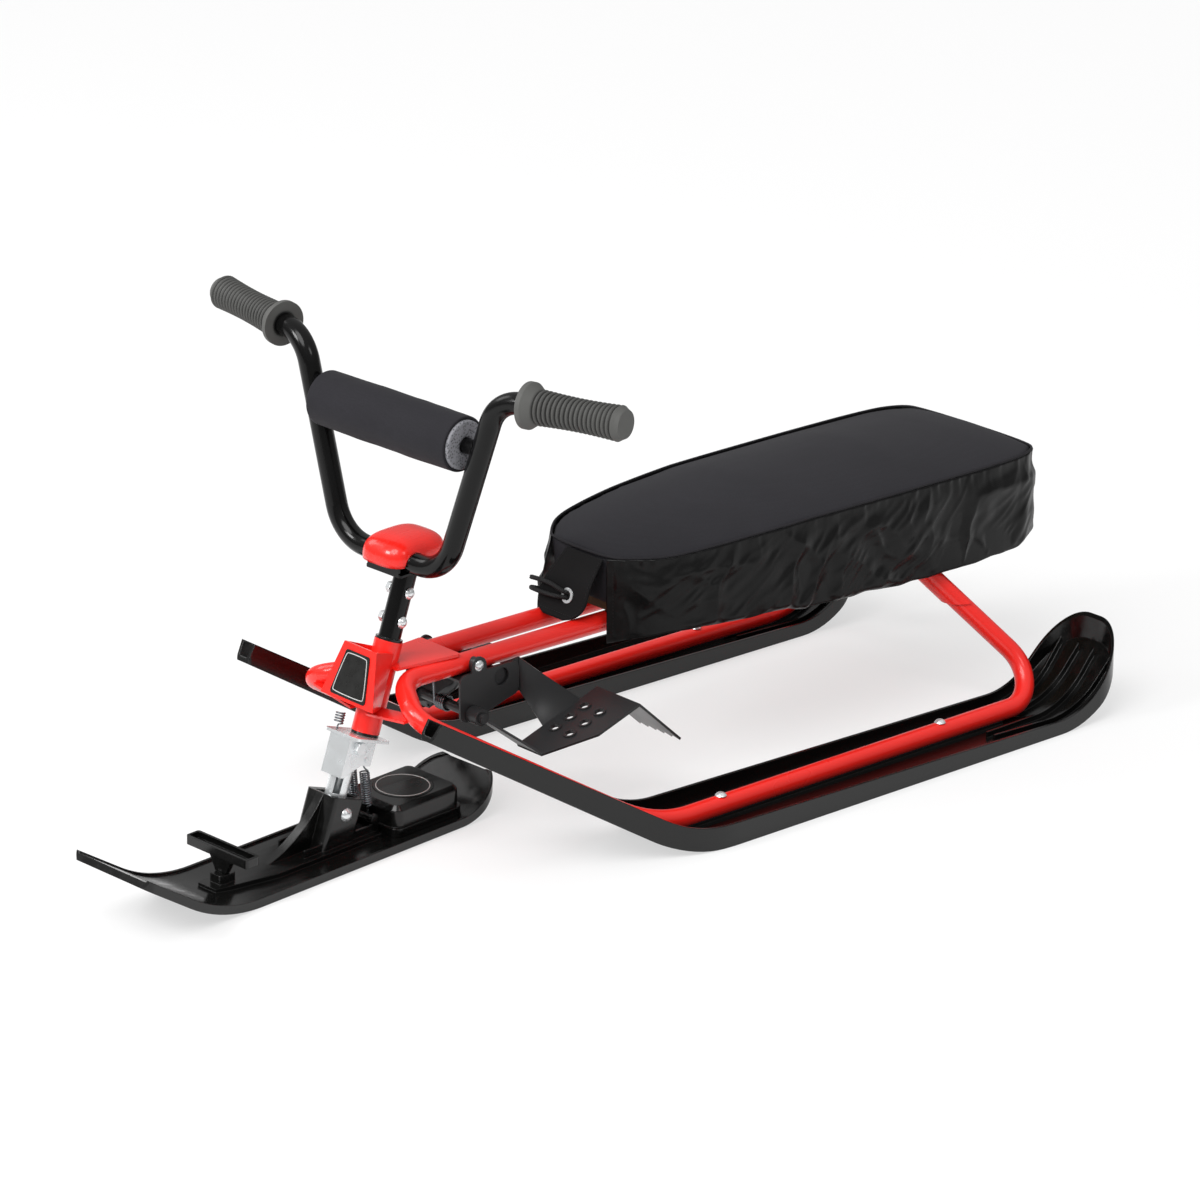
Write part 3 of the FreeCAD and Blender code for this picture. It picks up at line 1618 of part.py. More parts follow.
def ski_tower():
    """Socket for the leg, with its pocket and a curved buttress in front."""
    y0 = -leg_forward - tower_long / 2
    y1 = -leg_forward + tower_long / 2
    outer = raked(rounded_block(tower_half, y0, y1, -tower_top, tower_top, tower_corner_r))
    top_front = raked_point(0, y0, tower_top)
    foot = Vector(0, fin_front_y, fin_front_z)
    chord = top_front - foot
    sag = foot + chord * 0.5 - unit(along_x.cross(chord)) * fin_sag
    inside = raked_point(0, -leg_forward, pivot_along)
    under = Vector(0, fin_front_y, front_lift)
    under_back = Vector(0, inside.y, front_lift)
    wire = Part.Wire([
        Part.Arc(foot, sag, top_front).toShape(),
        Part.LineSegment(top_front, inside).toShape(),
        Part.LineSegment(inside, under_back).toShape(),
        Part.LineSegment(under_back, under).toShape(),
        Part.LineSegment(under, foot).toShape(),
    ])
    fin = Part.Face(wire).extrude(along_x * (fin_half + fin_half))
    fin.translate(along_x * -fin_half)
    low = front_lift + overrun
    above = block(-nose_width, nose_width, nose_tip_y, nose_tail_y, low, tower_top + tower_top)
    return outer.fuse(fin).common(above)


def tower_pocket():
    y0 = -leg_forward - tower_pocket_long / 2
    y1 = -leg_forward + tower_pocket_long / 2
    half = tower_pocket_half
    return raked(block(-half, half, y0, y1, tower_pocket_floor, tower_top + overrun))


def lug_pair():
    """Two ears and a pin on the deck that hold the lower ends of the tension springs."""
    lugs = []
    low = front_lift + overrun
    for x in (-lug_x - lug_sheet, lug_x):
        ear = rod(Vector(x, lug_pin_y, lug_pin_z), along_x, lug_r, lug_sheet)
        post = block(x, x + lug_sheet, lug_pin_y - lug_r, lug_pin_y + lug_r, low, lug_pin_z)
        lugs.extend([ear, post])
    return lugs + [cross_rod(spring_pin_r, lug_pin_y, lug_pin_z, lug_x)]


def front_ski():
    half = nose_width / 2
    outline = round_loop(plan(0, [
        (-half, nose_tip_y), (half, nose_tip_y), (half, nose_tail_y), (-half, nose_tail_y),
    ]), [nose_tip_corner_r, nose_tip_corner_r, nose_tail_corner_r, nose_tail_corner_r])
    height = along_z * (nose_tip_z + nose_width)
    body = Part.Face(outline).extrude(height)
    inner = Part.Face(outline.makeOffset2D(-rim_width)).extrude(height)
    deck = nose_band(0, nose_deck).common(body)
    rim = nose_band(0, nose_deck + rim_height).common(body.cut(inner))
    low = front_lift + overrun
    plinth = sheet_prism(plan(low, [
        (-plinth_front_half, plinth_front_y), (plinth_front_half, plinth_front_y),
        (plinth_half, fin_front_y), (plinth_half, plinth_rear_y),
        (-plinth_half, plinth_rear_y), (-plinth_half, fin_front_y),
    ]), along_z * (nose_deck + plinth_height - overrun))
    ribs = []
    rib_top = deck_z + plinth_height + rib_height
    for x in (-rib_half_gap - rib_width, rib_half_gap):
        ribs.append(block(x, x + rib_width, rib_front_y, rib_rear_y, low, rib_top))
    boss_front = handle_y - boss_long / 2
    boss = rounded_block(boss_half, boss_front, boss_front + boss_long, low, boss_top_z, boss_corner_r)
    ski = fused([deck, rim, plinth, ski_tower(), boss] + ribs + lug_pair())
    ski = ski.cut(tower_pocket())
    ski = ski.cut(raked(cross_rod(pivot_r + bolt_hole_fit, -leg_forward, pivot_along, nose_width)))
    hole = rod(Vector(0, handle_y, peg_low_z - stand_off), along_z, peg_r + peg_fit, boss_top_z)
    return ski.cut(hole)


def pivot_bolt():
    end = tower_half + pivot_nut_height + overrun
    shank = rod(Vector(-end, -leg_forward, pivot_along), along_x, pivot_r, end + tower_half)
    head = dome(Vector(tower_half, -leg_forward, pivot_along), along_x, pivot_head_r, pivot_head_height)
    return raked(shank.fuse(head))


def pivot_nut():
    return side_nut(tower_half, pivot_along, pivot_r, pivot_nut_r, pivot_nut_height)


def ski_springs():
    """Two tension springs from the fork bracket down to the deck of the ski."""
    top = raked_point(0, -spring_pin_back, spring_pin_along)
    low = Vector(0, lug_pin_y, lug_pin_z)
    down = unit(low - top)
    start = top + down * (spring_pin_r + hook_gap)
    end = low - down * (spring_pin_r + hook_gap)
    lead = ski_wire_r * 3
    coil_length = ski_coil_pitch * ski_coil_turns
    slack = ((end - start).Length - coil_length) / 2
    springs = []
    for x in (ski_spring_x, -ski_spring_x):
        shift = along_x * x
        head = start + shift + down * slack
        coil = coil_stations(head, down, along_x, ski_coil_r, ski_coil_pitch, 0, ski_coil_turns)
        tail = slack - ski_coil_r - lead
        first = (start + shift + down * tail, down)
        last = (end + shift - down * tail, down)
        stations = [first] + coil + [last]
        springs.append(coil_spring("ski_spring", stations, tail, tail, ski_wire_r, ski_coil_r))
    return Part.makeCompound(springs)


# Rope winder

def winder_low():
    return deck_z + hook_gap


def winder_housing():
    low = winder_low()
    y0 = winder_front_y
    y1 = winder_rear_y
    outer = rounded_block(winder_half, y0, y1, low, winder_top_z, winder_corner_r)
    step = rounded_block(
        winder_half + winder_step_out, y0 - winder_step_out, y1 + winder_step_out,
        low, low + winder_step_height, winder_corner_r)
    inner = rounded_block(
        winder_half - winder_wall, y0 + winder_wall, y1 - winder_wall,
        low + winder_wall, winder_top_z + overrun, winder_corner_r - winder_wall)
    box = outer.fuse(step).cut(inner).removeSplitter()
    rope_z = low + winder_wall + spool_lift + spool_height / 2
    hole = rod(Vector(0, y0 - winder_step_out, rope_z), along_y, rope_hole_r, winder_wall + winder_step_out)
    box = box.cut(hole)
    under = nose_band(0, nose_deck + hook_gap)
    return box.cut(under)


def winder_centre():
    return Vector(0, (winder_front_y + winder_rear_y) / 2, 0)


def winder_lid():
    z0 = winder_top_z + hook_gap
    z1 = z0 + lid_thickness

    def loop(inset, z):
        half = winder_half - inset
        front = winder_front_y + inset
        rear = winder_rear_y - inset
        corners = [(-half, front), (half, front), (half, rear), (-half, rear)]
        return round_loop(plan(z, corners), [winder_corner_r - inset] * 4)
    lid = Part.makeLoft([loop(0, z0), loop(lid_bevel, z1)], True, True)
    sink = winder_centre() + along_z * (z1 - winder_badge_sink)
    return lid.cut(rod(sink, along_z, winder_badge_r + stand_off, lid_thickness))


def winder_badge():
    z = winder_top_z + hook_gap + lid_thickness - winder_badge_sink
    return rod(winder_centre() + along_z * z, along_z, winder_badge_r, winder_badge_thickness)


def winder_axle():
    z = winder_low() + winder_wall
    return rod(winder_centre() + along_z * z, along_z, axle_r, winder_top_z - z)


def spool_low():
    return winder_low() + winder_wall + spool_lift


def winder_spool():
    base = winder_centre() + along_z * spool_low()
    hub = rod(base, along_z, spool_hub_r, spool_height)
    low = rod(base, along_z, spool_r, spool_flange)
    high = rod(base + along_z * (spool_height - spool_flange), along_z, spool_r, spool_flange)
    spool = fused([hub, low, high])
    bore = rod(base, along_z, axle_r + running_fit, spool_height)
    return spool.cut(bore)


def spiral_edges(thickness, z):
    """Half circles of growing radius, the edge of a flat spiral band."""
    edges = []
    centre = winder_centre() + along_z * z
    for i in range(mainspring_turns * 2):
        radius = mainspring_inner_r + mainspring_pitch * i / 2 + thickness
        shift = along_x * (mainspring_pitch / 4) * (1 if i % 2 else -1)
        way = -1 if i % 2 else 1
        hub = centre + shift
        out = along_x * (radius * way)
        edges.append(Part.Arc(hub + out, hub + along_y * (radius * way), hub - out).toShape())
    return edges


def winder_mainspring():
    z = spool_low() + spool_height + spool_lift
    inner = spiral_edges(0, z)
    outer = spiral_edges(mainspring_sheet, z)
    start = Part.LineSegment(inner[0].firstVertex(True).Point, outer[0].firstVertex(True).Point).toShape()
    end = Part.LineSegment(inner[-1].lastVertex(True).Point, outer[-1].lastVertex(True).Point).toShape()
    wire = Part.Wire(Part.__sortEdges__(inner + outer + [start, end]))
    return Part.Face(wire).extrude(along_z * mainspring_height)


def tow_handle():
    """T-shaped pull with a channel bar, a forked stem and a peg in the deck boss."""
    y = handle_y
    half = handle_width / 2
    bar = rounded_block(handle_half, y - half, y + half, handle_low_z, handle_high_z, handle_corner_r)
    groove = rounded_block(
        handle_half - handle_wall, y - half + handle_wall, y + half - handle_wall,
        handle_low_z + handle_wall, handle_high_z + overrun, handle_corner_r - handle_wall / 2)
    stem = sheet_prism([
        Vector(-stem_half_low, y - stem_thickness / 2, stem_low_z),
        Vector(stem_half_low, y - stem_thickness / 2, stem_low_z),
        Vector(stem_half_top, y - stem_thickness / 2, handle_low_z + handle_wall / 2),
        Vector(-stem_half_top, y - stem_thickness / 2, handle_low_z + handle_wall / 2),
    ], along_y * stem_thickness)
    peg = rod(Vector(0, y, peg_low_z), along_z, peg_r, stem_low_z - peg_low_z + handle_wall)
    return fused([bar.cut(groove), stem, peg])


def build():
    left_ski = rear_ski_left()
    left_tube = frame_tube_left()
    left_pedal = brake_pedal_left()
    left_stay = seat_stay_left()
    left_grip = grip_left()
    save("frame_tube_left", left_tube)
    save("frame_tube_right", mirrored(left_tube))
    save("rear_ski_left", left_ski)
    save("rear_ski_right", mirrored(left_ski))
    save("ski_screws", ski_screws())
    save("head_tube", head_tube())
    save("upper_head_bush", head_bush(head_top, -1))
    save("lower_head_bush", head_bush(head_bottom, 1))
    save("head_box", head_box())
    save("head_badge", head_badge())
    save("top_gusset", top_gusset())
    save("lower_straps", lower_straps())
    save("seat_rail_front", seat_rail(front_rail_y, front_rail_width, front_rail_half))
    save("seat_rail_rear", seat_rail(rear_rail_y, rear_rail_width, rear_rail_half))
    save("seat_stay_left", left_stay)
    save("seat_stay_right", mirrored(left_stay))
    save("seat_board", seat_board())
    save("seat_bolts", seat_bolts())
    save("seat_cushion", seat_cushion())
    save("seat_skirt", seat_skirt())
    save("seat_flap", seat_flap())
    save("flap_eyelet", flap_eyelet())
    save("seat_drawstring", seat_drawstring())
    save("brake_bracket", brake_bracket())
    save("brake_rivets", brake_rivets())
    save("brake_shaft", brake_shaft())
    save("brake_pedal_left", left_pedal)
    save("brake_pedal_right", mirrored(left_pedal))
    save("brake_tie_rod", brake_tie_rod())
    save("brake_spring", brake_spring())
    turned = {
        "steering_tube": steering_tube(),
        "steering_column": steering_column(),
        "column_bolts": column_bolts(),
        "column_nuts": column_nuts(),
        "bar_cradle": bar_cradle(),
        "bar_cap": bar_cap(),
        "cap_screws": cap_screws(),
        "handlebar": handlebar(),
        "crossbar": crossbar(),
        "pad_foam": pad_foam(),
        "pad_cover": pad_cover(),
        "grip_left": left_grip,
        "grip_right": mirrored(left_grip),
        "fork_bracket": fork_bracket(),
        "fork_leg": fork_leg(),
        "fork_bolt": fork_bolt(),
        "fork_nut": fork_nut(),
        "buffer_spring": buffer_spring(),
        "front_ski": front_ski(),
        "pivot_bolt": pivot_bolt(),
        "pivot_nut": pivot_nut(),
        "ski_springs": ski_springs(),
        "winder_housing": winder_housing(),
        "winder_lid": winder_lid(),
        "winder_badge": winder_badge(),
        "winder_axle": winder_axle(),
        "winder_spool": winder_spool(),
        "winder_mainspring": winder_mainspring(),
        "tow_handle": tow_handle(),
    }
    for name, shape in turned.items():
        save(name, steered(shape))


build()
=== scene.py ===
"""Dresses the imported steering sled: padded seat, hanging cloth, cord, finishes, light and camera."""

import logging
import math
from dataclasses import dataclass
from enum import Enum
from typing import Any

import bpy
import numpy as np
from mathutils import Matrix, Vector


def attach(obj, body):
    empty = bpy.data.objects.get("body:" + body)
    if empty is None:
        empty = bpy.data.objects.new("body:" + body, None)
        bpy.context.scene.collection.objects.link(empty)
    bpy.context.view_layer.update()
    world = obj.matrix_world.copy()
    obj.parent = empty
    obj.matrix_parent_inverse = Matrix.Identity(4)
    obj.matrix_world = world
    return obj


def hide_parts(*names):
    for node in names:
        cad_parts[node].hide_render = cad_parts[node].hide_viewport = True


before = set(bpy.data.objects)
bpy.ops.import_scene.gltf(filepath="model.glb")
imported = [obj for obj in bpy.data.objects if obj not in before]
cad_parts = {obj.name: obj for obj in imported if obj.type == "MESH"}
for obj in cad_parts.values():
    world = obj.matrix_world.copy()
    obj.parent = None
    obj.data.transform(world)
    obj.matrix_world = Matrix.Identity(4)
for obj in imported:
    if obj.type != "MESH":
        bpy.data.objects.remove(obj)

log = logging.getLogger("sled")
MM = 0.001
MID_PLANE = np.array((-7.9, 7.4, 0.0))
HEAD_GROUND = np.array((0.0, -294.0, 0.0))
HEAD_RAKE = math.radians(19.4)
REST_STEER = math.radians(6.25)
UP = np.array((0.0, 0.0, 1.0))
# Cells along each side of the noise lattice
LATTICE = 64
# Half a stitch, as a share of the distance from stitch to stitch
HALF_STITCH = 0.36


class Body(Enum):
    """The moving bodies that a new piece can ride on."""

    FRAME = "frame"
    STEERING = "steering"
    FRONT_SKI = "front_ski"


# Places and shapes

def placed(points: np.ndarray) -> np.ndarray:
    """Move millimetres measured from the mid-plane to metres in the row frame.

    Args:
        points: Array of points, last axis x, y, z in millimetres.
    Returns:
        The same array in metres, shifted to the row's origin.
    """
    return (points + MID_PLANE) * MM


def steered(points: np.ndarray) -> np.ndarray:
    """Turn points about the leaning head axis to where the steering rests.

    Rodrigues' formula: the part along the axis stays, the rest turns by the rest angle.

    Args:
        points: Array of points in millimetres from the mid-plane, steering straight ahead.
    Returns:
        The turned array, in the same units.
    """
    axis = np.array((0.0, math.sin(HEAD_RAKE), math.cos(HEAD_RAKE)))
    off = points - HEAD_GROUND
    along = (off @ axis)[..., None] * axis
    cosine, sine = math.cos(REST_STEER), math.sin(REST_STEER)
    return HEAD_GROUND + off * cosine + np.cross(axis, off) * sine + along * (1 - cosine)


def raked(points: np.ndarray) -> np.ndarray:
    """Stand points measured along the head axis on the leaning axis.

    Args:
        points: Array of x, back and along distances in millimetres.
    Returns:
        The same points in millimetres from the mid-plane.
    """
    cosine, sine = math.cos(HEAD_RAKE), math.sin(HEAD_RAKE)
    x, back, along = points[..., 0], points[..., 1], points[..., 2]
    return HEAD_GROUND + np.stack((x, back * cosine + along * sine, along * cosine - back * sine), -1)


def unit(vectors: np.ndarray) -> np.ndarray:
    """Return vectors brought to a length of one along their last axis."""
    return vectors / np.linalg.norm(vectors, axis=-1, keepdims=True)


def run_lengths(points: np.ndarray) -> np.ndarray:
    """Return the distance along a path up to each of its points, starting at zero."""
    steps = np.linalg.norm(np.diff(points, axis=0), axis=1)
    return np.concatenate(([0.0], np.cumsum(steps)))


def resampled(points: np.ndarray, count: int) -> np.ndarray:
    """Evenly spaced points along a path, by straight runs between its points.

    Args:
        points: Path points, one row each.
        count: How many points to return.
    Returns:
        The new points, first and last ones kept.
    """
    lengths = run_lengths(points)
    wanted = np.linspace(0.0, lengths[-1], count)
    return np.stack([np.interp(wanted, lengths, points[:, k]) for k in range(points.shape[1])], -1)


def softened(points: np.ndarray, passes: int, closed: bool) -> np.ndarray:
    """Round a polygon's corners by cutting each side at a quarter and three quarters.

    Args:
        points: Polygon points in order.
        passes: How many times to cut.
        closed: Whether the last point joins the first.
    Returns:
        The rounder polygon; an open one keeps its ends.
    """
    for _ in range(passes):
        after = np.roll(points, -1, axis=0) if closed else points[1:]
        before = points if closed else points[:-1]
        cut = np.stack((before * 0.75 + after * 0.25, before * 0.25 + after * 0.75), 1)
        cut = cut.reshape(-1, points.shape[1])
        points = cut if closed else np.concatenate((points[:1], cut, points[-1:]))
    return points


def soft_noise(u: np.ndarray, v: np.ndarray, seed: int) -> np.ndarray:
    """Smooth lattice noise from -1 to 1: random corner values blended by a smooth step.

    Args:
        u: First coordinate, one unit per lattice cell.
        v: Second coordinate, one unit per lattice cell.
        seed: Which lattice to use.
    Returns:
        Noise of the same shape as u and v together.
    """
    table = np.random.default_rng(seed).uniform(-1.0, 1.0, (LATTICE, LATTICE))
    cell_u, cell_v = np.floor(u).astype(int), np.floor(v).astype(int)
    part_u, part_v = u - cell_u, v - cell_v
    part_u, part_v = part_u * part_u * (3 - 2 * part_u), part_v * part_v * (3 - 2 * part_v)
    row, next_row = cell_u % LATTICE, (cell_u + 1) % LATTICE
    column, next_column = cell_v % LATTICE, (cell_v + 1) % LATTICE
    low = table[row, column] * (1 - part_u) + table[next_row, column] * part_u
    high = table[row, next_column] * (1 - part_u) + table[next_row, next_column] * part_u
    return low * (1 - part_v) + high * part_v


@dataclass(frozen=True)
class Folds:
    """One set of folds in hanging cloth: its depth, size, slant and noise lattice."""

    depth: float
    width: float
    height: float
    seed: int
    slant: float = 0.0
    shift: float = 0.0
    bend: float = 0.0

    def noise(self, along: np.ndarray, drop: np.ndarray, bend: np.ndarray | float = 0.0) -> np.ndarray:
        """Smooth noise over length and drop, whose place along slants with the drop and takes up a bend.

        Args:
            along: Length along the seam, in millimetres.
            drop: Distance down, in the unit of the folds' height.
            bend: A slow noise that bends the folds.
        Returns:
            Noise from -1 to 1 for each point.
        """
        u = (along + self.slant * drop) / self.width + self.bend * bend
        return soft_noise(u, drop / self.height + self.shift, self.seed)


def square_directions(path: np.ndarray, reference: np.ndarray,
                      closed: bool = False) -> tuple[np.ndarray, np.ndarray]:
    """Two directions square to a path and to each other, by cross products with a reference.

    Args:
        path: Path points, one row each.
        reference: A direction that the path is never parallel to.
        closed: Whether the path joins up.
    Returns:
        Both directions at each path point.
    """
    steps = np.roll(path, -1, 0) - np.roll(path, 1, 0) if closed else np.gradient(path, axis=0)
    tangent = unit(steps)
    first = unit(np.cross(tangent, reference))
    return first, np.cross(first, tangent)


def tube_grid(path: np.ndarray, radius: np.ndarray | float, sides: int, reference: np.ndarray,
              closed: bool = False) -> np.ndarray:
    """Circle carried along a path: point plus radius times cosine and sine of two square directions.

    Args:
        path: Path points, one row each.
        radius: Tube radius, one value or one per path point.
        sides: Points round the tube.
        reference: A direction that the path is never parallel to.
        closed: Whether the path joins up.
    Returns:
        Grid of points, path points by sides by 3.
    """
    first, second = square_directions(path, reference, closed)
    angle = np.linspace(0.0, math.tau, sides, endpoint=False)[None, :, None]
    size = np.broadcast_to(np.asarray(radius, float), (len(path),))[:, None, None]
    return path[:, None] + (first[:, None] * np.cos(angle) + second[:, None] * np.sin(angle)) * size


# Meshes

@dataclass
class Patch:
    """A grid of points in metres, rows by columns by 3, and how its edges close."""

    grid: np.ndarray
    wrap_rows: bool = False
    wrap_columns: bool = False
    capped: bool = False

    def closed(self) -> bool:
        """Return whether the patch encloses a volume."""
        return self.wrap_columns and (self.wrap_rows or self.capped)

    def faces(self, first: int) -> tuple[list[list[int]], np.ndarray]:
        """One quad per grid cell, turned outwards, with u and v as mean lengths along the grid.

        Args:
            first: Number of the patch's first vertex in the whole mesh.
        Returns:
            The faces' vertex numbers, and one u and v for each corner of each face.
        """
        rows, columns = self.grid.shape[:2]
        index = np.arange(rows * columns).reshape(rows, columns)
        full = self.grid
        if self.wrap_columns:
            index = np.concatenate((index, index[:, :1]), 1)
            full = np.concatenate((full, full[:, :1]), 1)
        if self.wrap_rows:
            index = np.concatenate((index, index[:1]), 0)
            full = np.concatenate((full, full[:1]), 0)
        across = np.linalg.norm(np.diff(full, axis=1), axis=2).mean(0)
        down = np.linalg.norm(np.diff(full, axis=0), axis=2).mean(1)
        u = np.concatenate(([0.0], np.cumsum(across)))[None, :].repeat(len(full), 0)
        v = np.concatenate(([0.0], np.cumsum(down)))[:, None].repeat(full.shape[1], 1)
        corners = [np.stack((a[:-1, :-1], a[:-1, 1:], a[1:, 1:], a[1:, :-1]), -1).reshape(-1, 4)
                   for a in (index, u, v)]
        quads, coords = corners[0], np.stack(corners[1:], -1)
        flip = False
        if self.closed():
            local = self.grid.reshape(-1, 3) - self.grid.reshape(-1, 3).mean(0)
            a, b, c, d = (local[quads[:, k]] for k in range(4))
            flip = float(np.sum(a * (np.cross(b, c) + np.cross(c, d)))) < 0
        if flip:
            quads, coords = quads[:, ::-1], coords[:, ::-1]
        faces, coords = (quads + first).tolist(), coords.reshape(-1, 2)
        if self.capped:
            start, end = index[0, :columns], index[-1, :columns]
            start, end = (start, end[::-1]) if flip else (start[::-1], end)
            flat = np.stack((u[:, :columns].ravel(), v[:, :columns].ravel()), -1)
            faces += [(start + first).tolist(), (end + first).tolist()]
            coords = np.concatenate((coords, flat[start], flat[end]))
        return faces, coords


def capped(grid: np.ndarray) -> Patch:
    """Return a tube of points with both ends closed."""
    return Patch(grid, wrap_columns=True, capped=True)


def ring(grid: np.ndarray) -> Patch:
    """Return a tube of points whose ends meet."""
    return Patch(grid, wrap_rows=True, wrap_columns=True)


def vertex_places(mesh: bpy.types.Mesh) -> np.ndarray:
    """Return the places of a mesh's vertices, one row each."""
    places = np.empty(len(mesh.vertices) * 3, np.float32)
    mesh.vertices.foreach_get("co", places)
    return places.reshape(-1, 3)


def made_piece(name: str, *patches: Patch) -> bpy.types.Object:
    """Make one mesh object of several patches, with a UV map in metres and smooth faces.

    Args:
        name: Name of the new object and mesh.
        patches: The patches, in place.
    Returns:
        The linked object, at the origin.
    """
    faces: list[list[int]] = []
    coords: list[np.ndarray] = []
    first = 0
    for patch in patches:
        new_faces, new_coords = patch.faces(first)
        faces += new_faces
        coords.append(new_coords)
        first += patch.grid.shape[0] * patch.grid.shape[1]
    mesh = bpy.data.meshes.new(name)
    mesh.from_pydata(np.concatenate([p.grid.reshape(-1, 3) for p in patches]), [], faces)
    layer = mesh.uv_layers.new(name="Cut")
    layer.data.foreach_set("uv", np.concatenate(coords).astype(np.float32).ravel())
    mesh.polygons.foreach_set("use_smooth", np.ones(len(mesh.polygons), bool))
    mesh.update()
    piece = bpy.data.objects.new(name, mesh)
    bpy.context.scene.collection.objects.link(piece)
    return piece


def stitch_patches(path: np.ndarray, pitch: float, radius: float, reference: np.ndarray) -> list[Patch]:
    """Short capsules along a path: each a thread radius times the root of one minus the square along it.

    Args:
        path: Path of the seam in metres.
        pitch: Distance from stitch to stitch in metres.
        radius: Thread radius in metres.
        reference: A direction that the path is never parallel to.
    Returns:
        One small closed patch for each stitch.
    """
    lengths = run_lengths(path)
    count = int(lengths[-1] / pitch)
    share = np.array((-0.98, -0.6, 0.0, 0.6, 0.98))
    size = radius * np.sqrt(1 - share ** 2)
    patches = []
    for middle in (np.arange(count) + 0.5) * pitch:
        at = middle + share * pitch * HALF_STITCH
        spine = np.stack([np.interp(at, lengths, path[:, k]) for k in range(3)], -1)
        patches.append(capped(tube_grid(spine, size, 5, reference)))
    return patches


# Finishes

def linear(code: str) -> tuple[float, float, float, float]:
    """Turn an sRGB hex colour to the linear colour that a shader takes.

    Args:
        code: Colour such as "#F5251B".
    Returns:
        Red, green, blue and alpha, linear.
    """
    values = [int(code[i:i + 2], 16) / 255 for i in (1, 3, 5)]
    flat = [c / 12.92 if c <= 0.04045 else ((c + 0.055) / 1.055) ** 2.4 for c in values]
    return flat[0], flat[1], flat[2], 1.0


def per_metre(size_mm: float) -> float:
    """Return the texture scale whose pattern repeats about once in so many millimetres."""
    return 1.0 / (size_mm * MM)


def bands_per_metre(size_mm: float) -> float:
    """Return the scale of a wave texture whose bands are so many millimetres apart."""
    return math.pi / 10.0 * per_metre(size_mm)


def add_node(tree: bpy.types.NodeTree, kind: str, values: dict[Any, Any] | None = None,
             links: dict[Any, bpy.types.NodeSocket] | None = None, **settings: Any) -> bpy.types.Node:
    """Add a node, set its properties and input values, and link its inputs.

    Args:
        tree: Node tree to add to.
        kind: Node type.
        values: Input names or numbers and the values they take.
        links: Input names or numbers and the sockets that feed them.
        settings: Properties of the node itself.
    Returns:
        The new node.
    """
    node = tree.nodes.new(kind)
    for key, value in settings.items():
        setattr(node, key, value)
    for key, value in (values or {}).items():
        node.inputs[key].default_value = value
    for key, socket in (links or {}).items():
        tree.links.new(socket, node.inputs[key])
    return node


def noise(tree: bpy.types.NodeTree, place: bpy.types.NodeSocket, size_mm: float,
          detail: float) -> bpy.types.NodeSocket:
    """Add a noise texture and return its value.

    Args:
        tree: Node tree to add to.
        place: Texture place.
        size_mm: Width of its patches in millimetres.
        detail: How many finer layers it has.
    Returns:
        The noise, from 0 to 1.
    """
    node = add_node(tree, "ShaderNodeTexNoise", {"Scale": per_metre(size_mm), "Detail": detail},
                    {"Vector": place})
    return node.outputs["Fac"]


def cells(tree: bpy.types.NodeTree, place: bpy.types.NodeSocket, size_mm: float,
          randomness: float = 1.0) -> bpy.types.NodeSocket:
    """Add a cell texture and return the distance from each cell's middle.

    Args:
        tree: Node tree to add to.
        place: Texture place.
        size_mm: Width of a cell in millimetres.
        randomness: How far the cells stray from even rows.
    Returns:
        The distance, in cells.
    """
    node = add_node(tree, "ShaderNodeTexVoronoi", {"Scale": per_metre(size_mm), "Randomness": randomness},
                    {"Vector": place})
    return node.outputs["Distance"]


def stretched(tree: bpy.types.NodeTree, place: bpy.types.NodeSocket, share: float) -> bpy.types.NodeSocket:
    """Return a texture place whose pattern is drawn out along Y, to one over a share of its length."""
    node = add_node(tree, "ShaderNodeMapping", {"Scale": (1.0, share, 1.0)}, {"Vector": place})
    return node.outputs["Vector"]


def product(tree: bpy.types.NodeTree, first: bpy.types.NodeSocket,
            second: bpy.types.NodeSocket) -> bpy.types.NodeSocket:
    """Return one value times another."""
    return add_node(tree, "ShaderNodeMath", None, {0: first, 1: second}, operation="MULTIPLY").outputs[0]


def ranged(tree: bpy.types.NodeTree, value: bpy.types.NodeSocket, old: tuple[float, float],
           new: tuple[float, float]) -> bpy.types.NodeSocket:
    """Bring a value from one range to another, held inside it.

    Args:
        tree: Node tree to add to.
        value: The value.
        old: Where the first range starts and ends.
        new: What they become.
    Returns:
        The new value.
    """
    node = add_node(tree, "ShaderNodeMapRange",
                    {"From Min": old[0], "From Max": old[1], "To Min": new[0], "To Max": new[1]},
                    {"Value": value})
    return node.outputs["Result"]


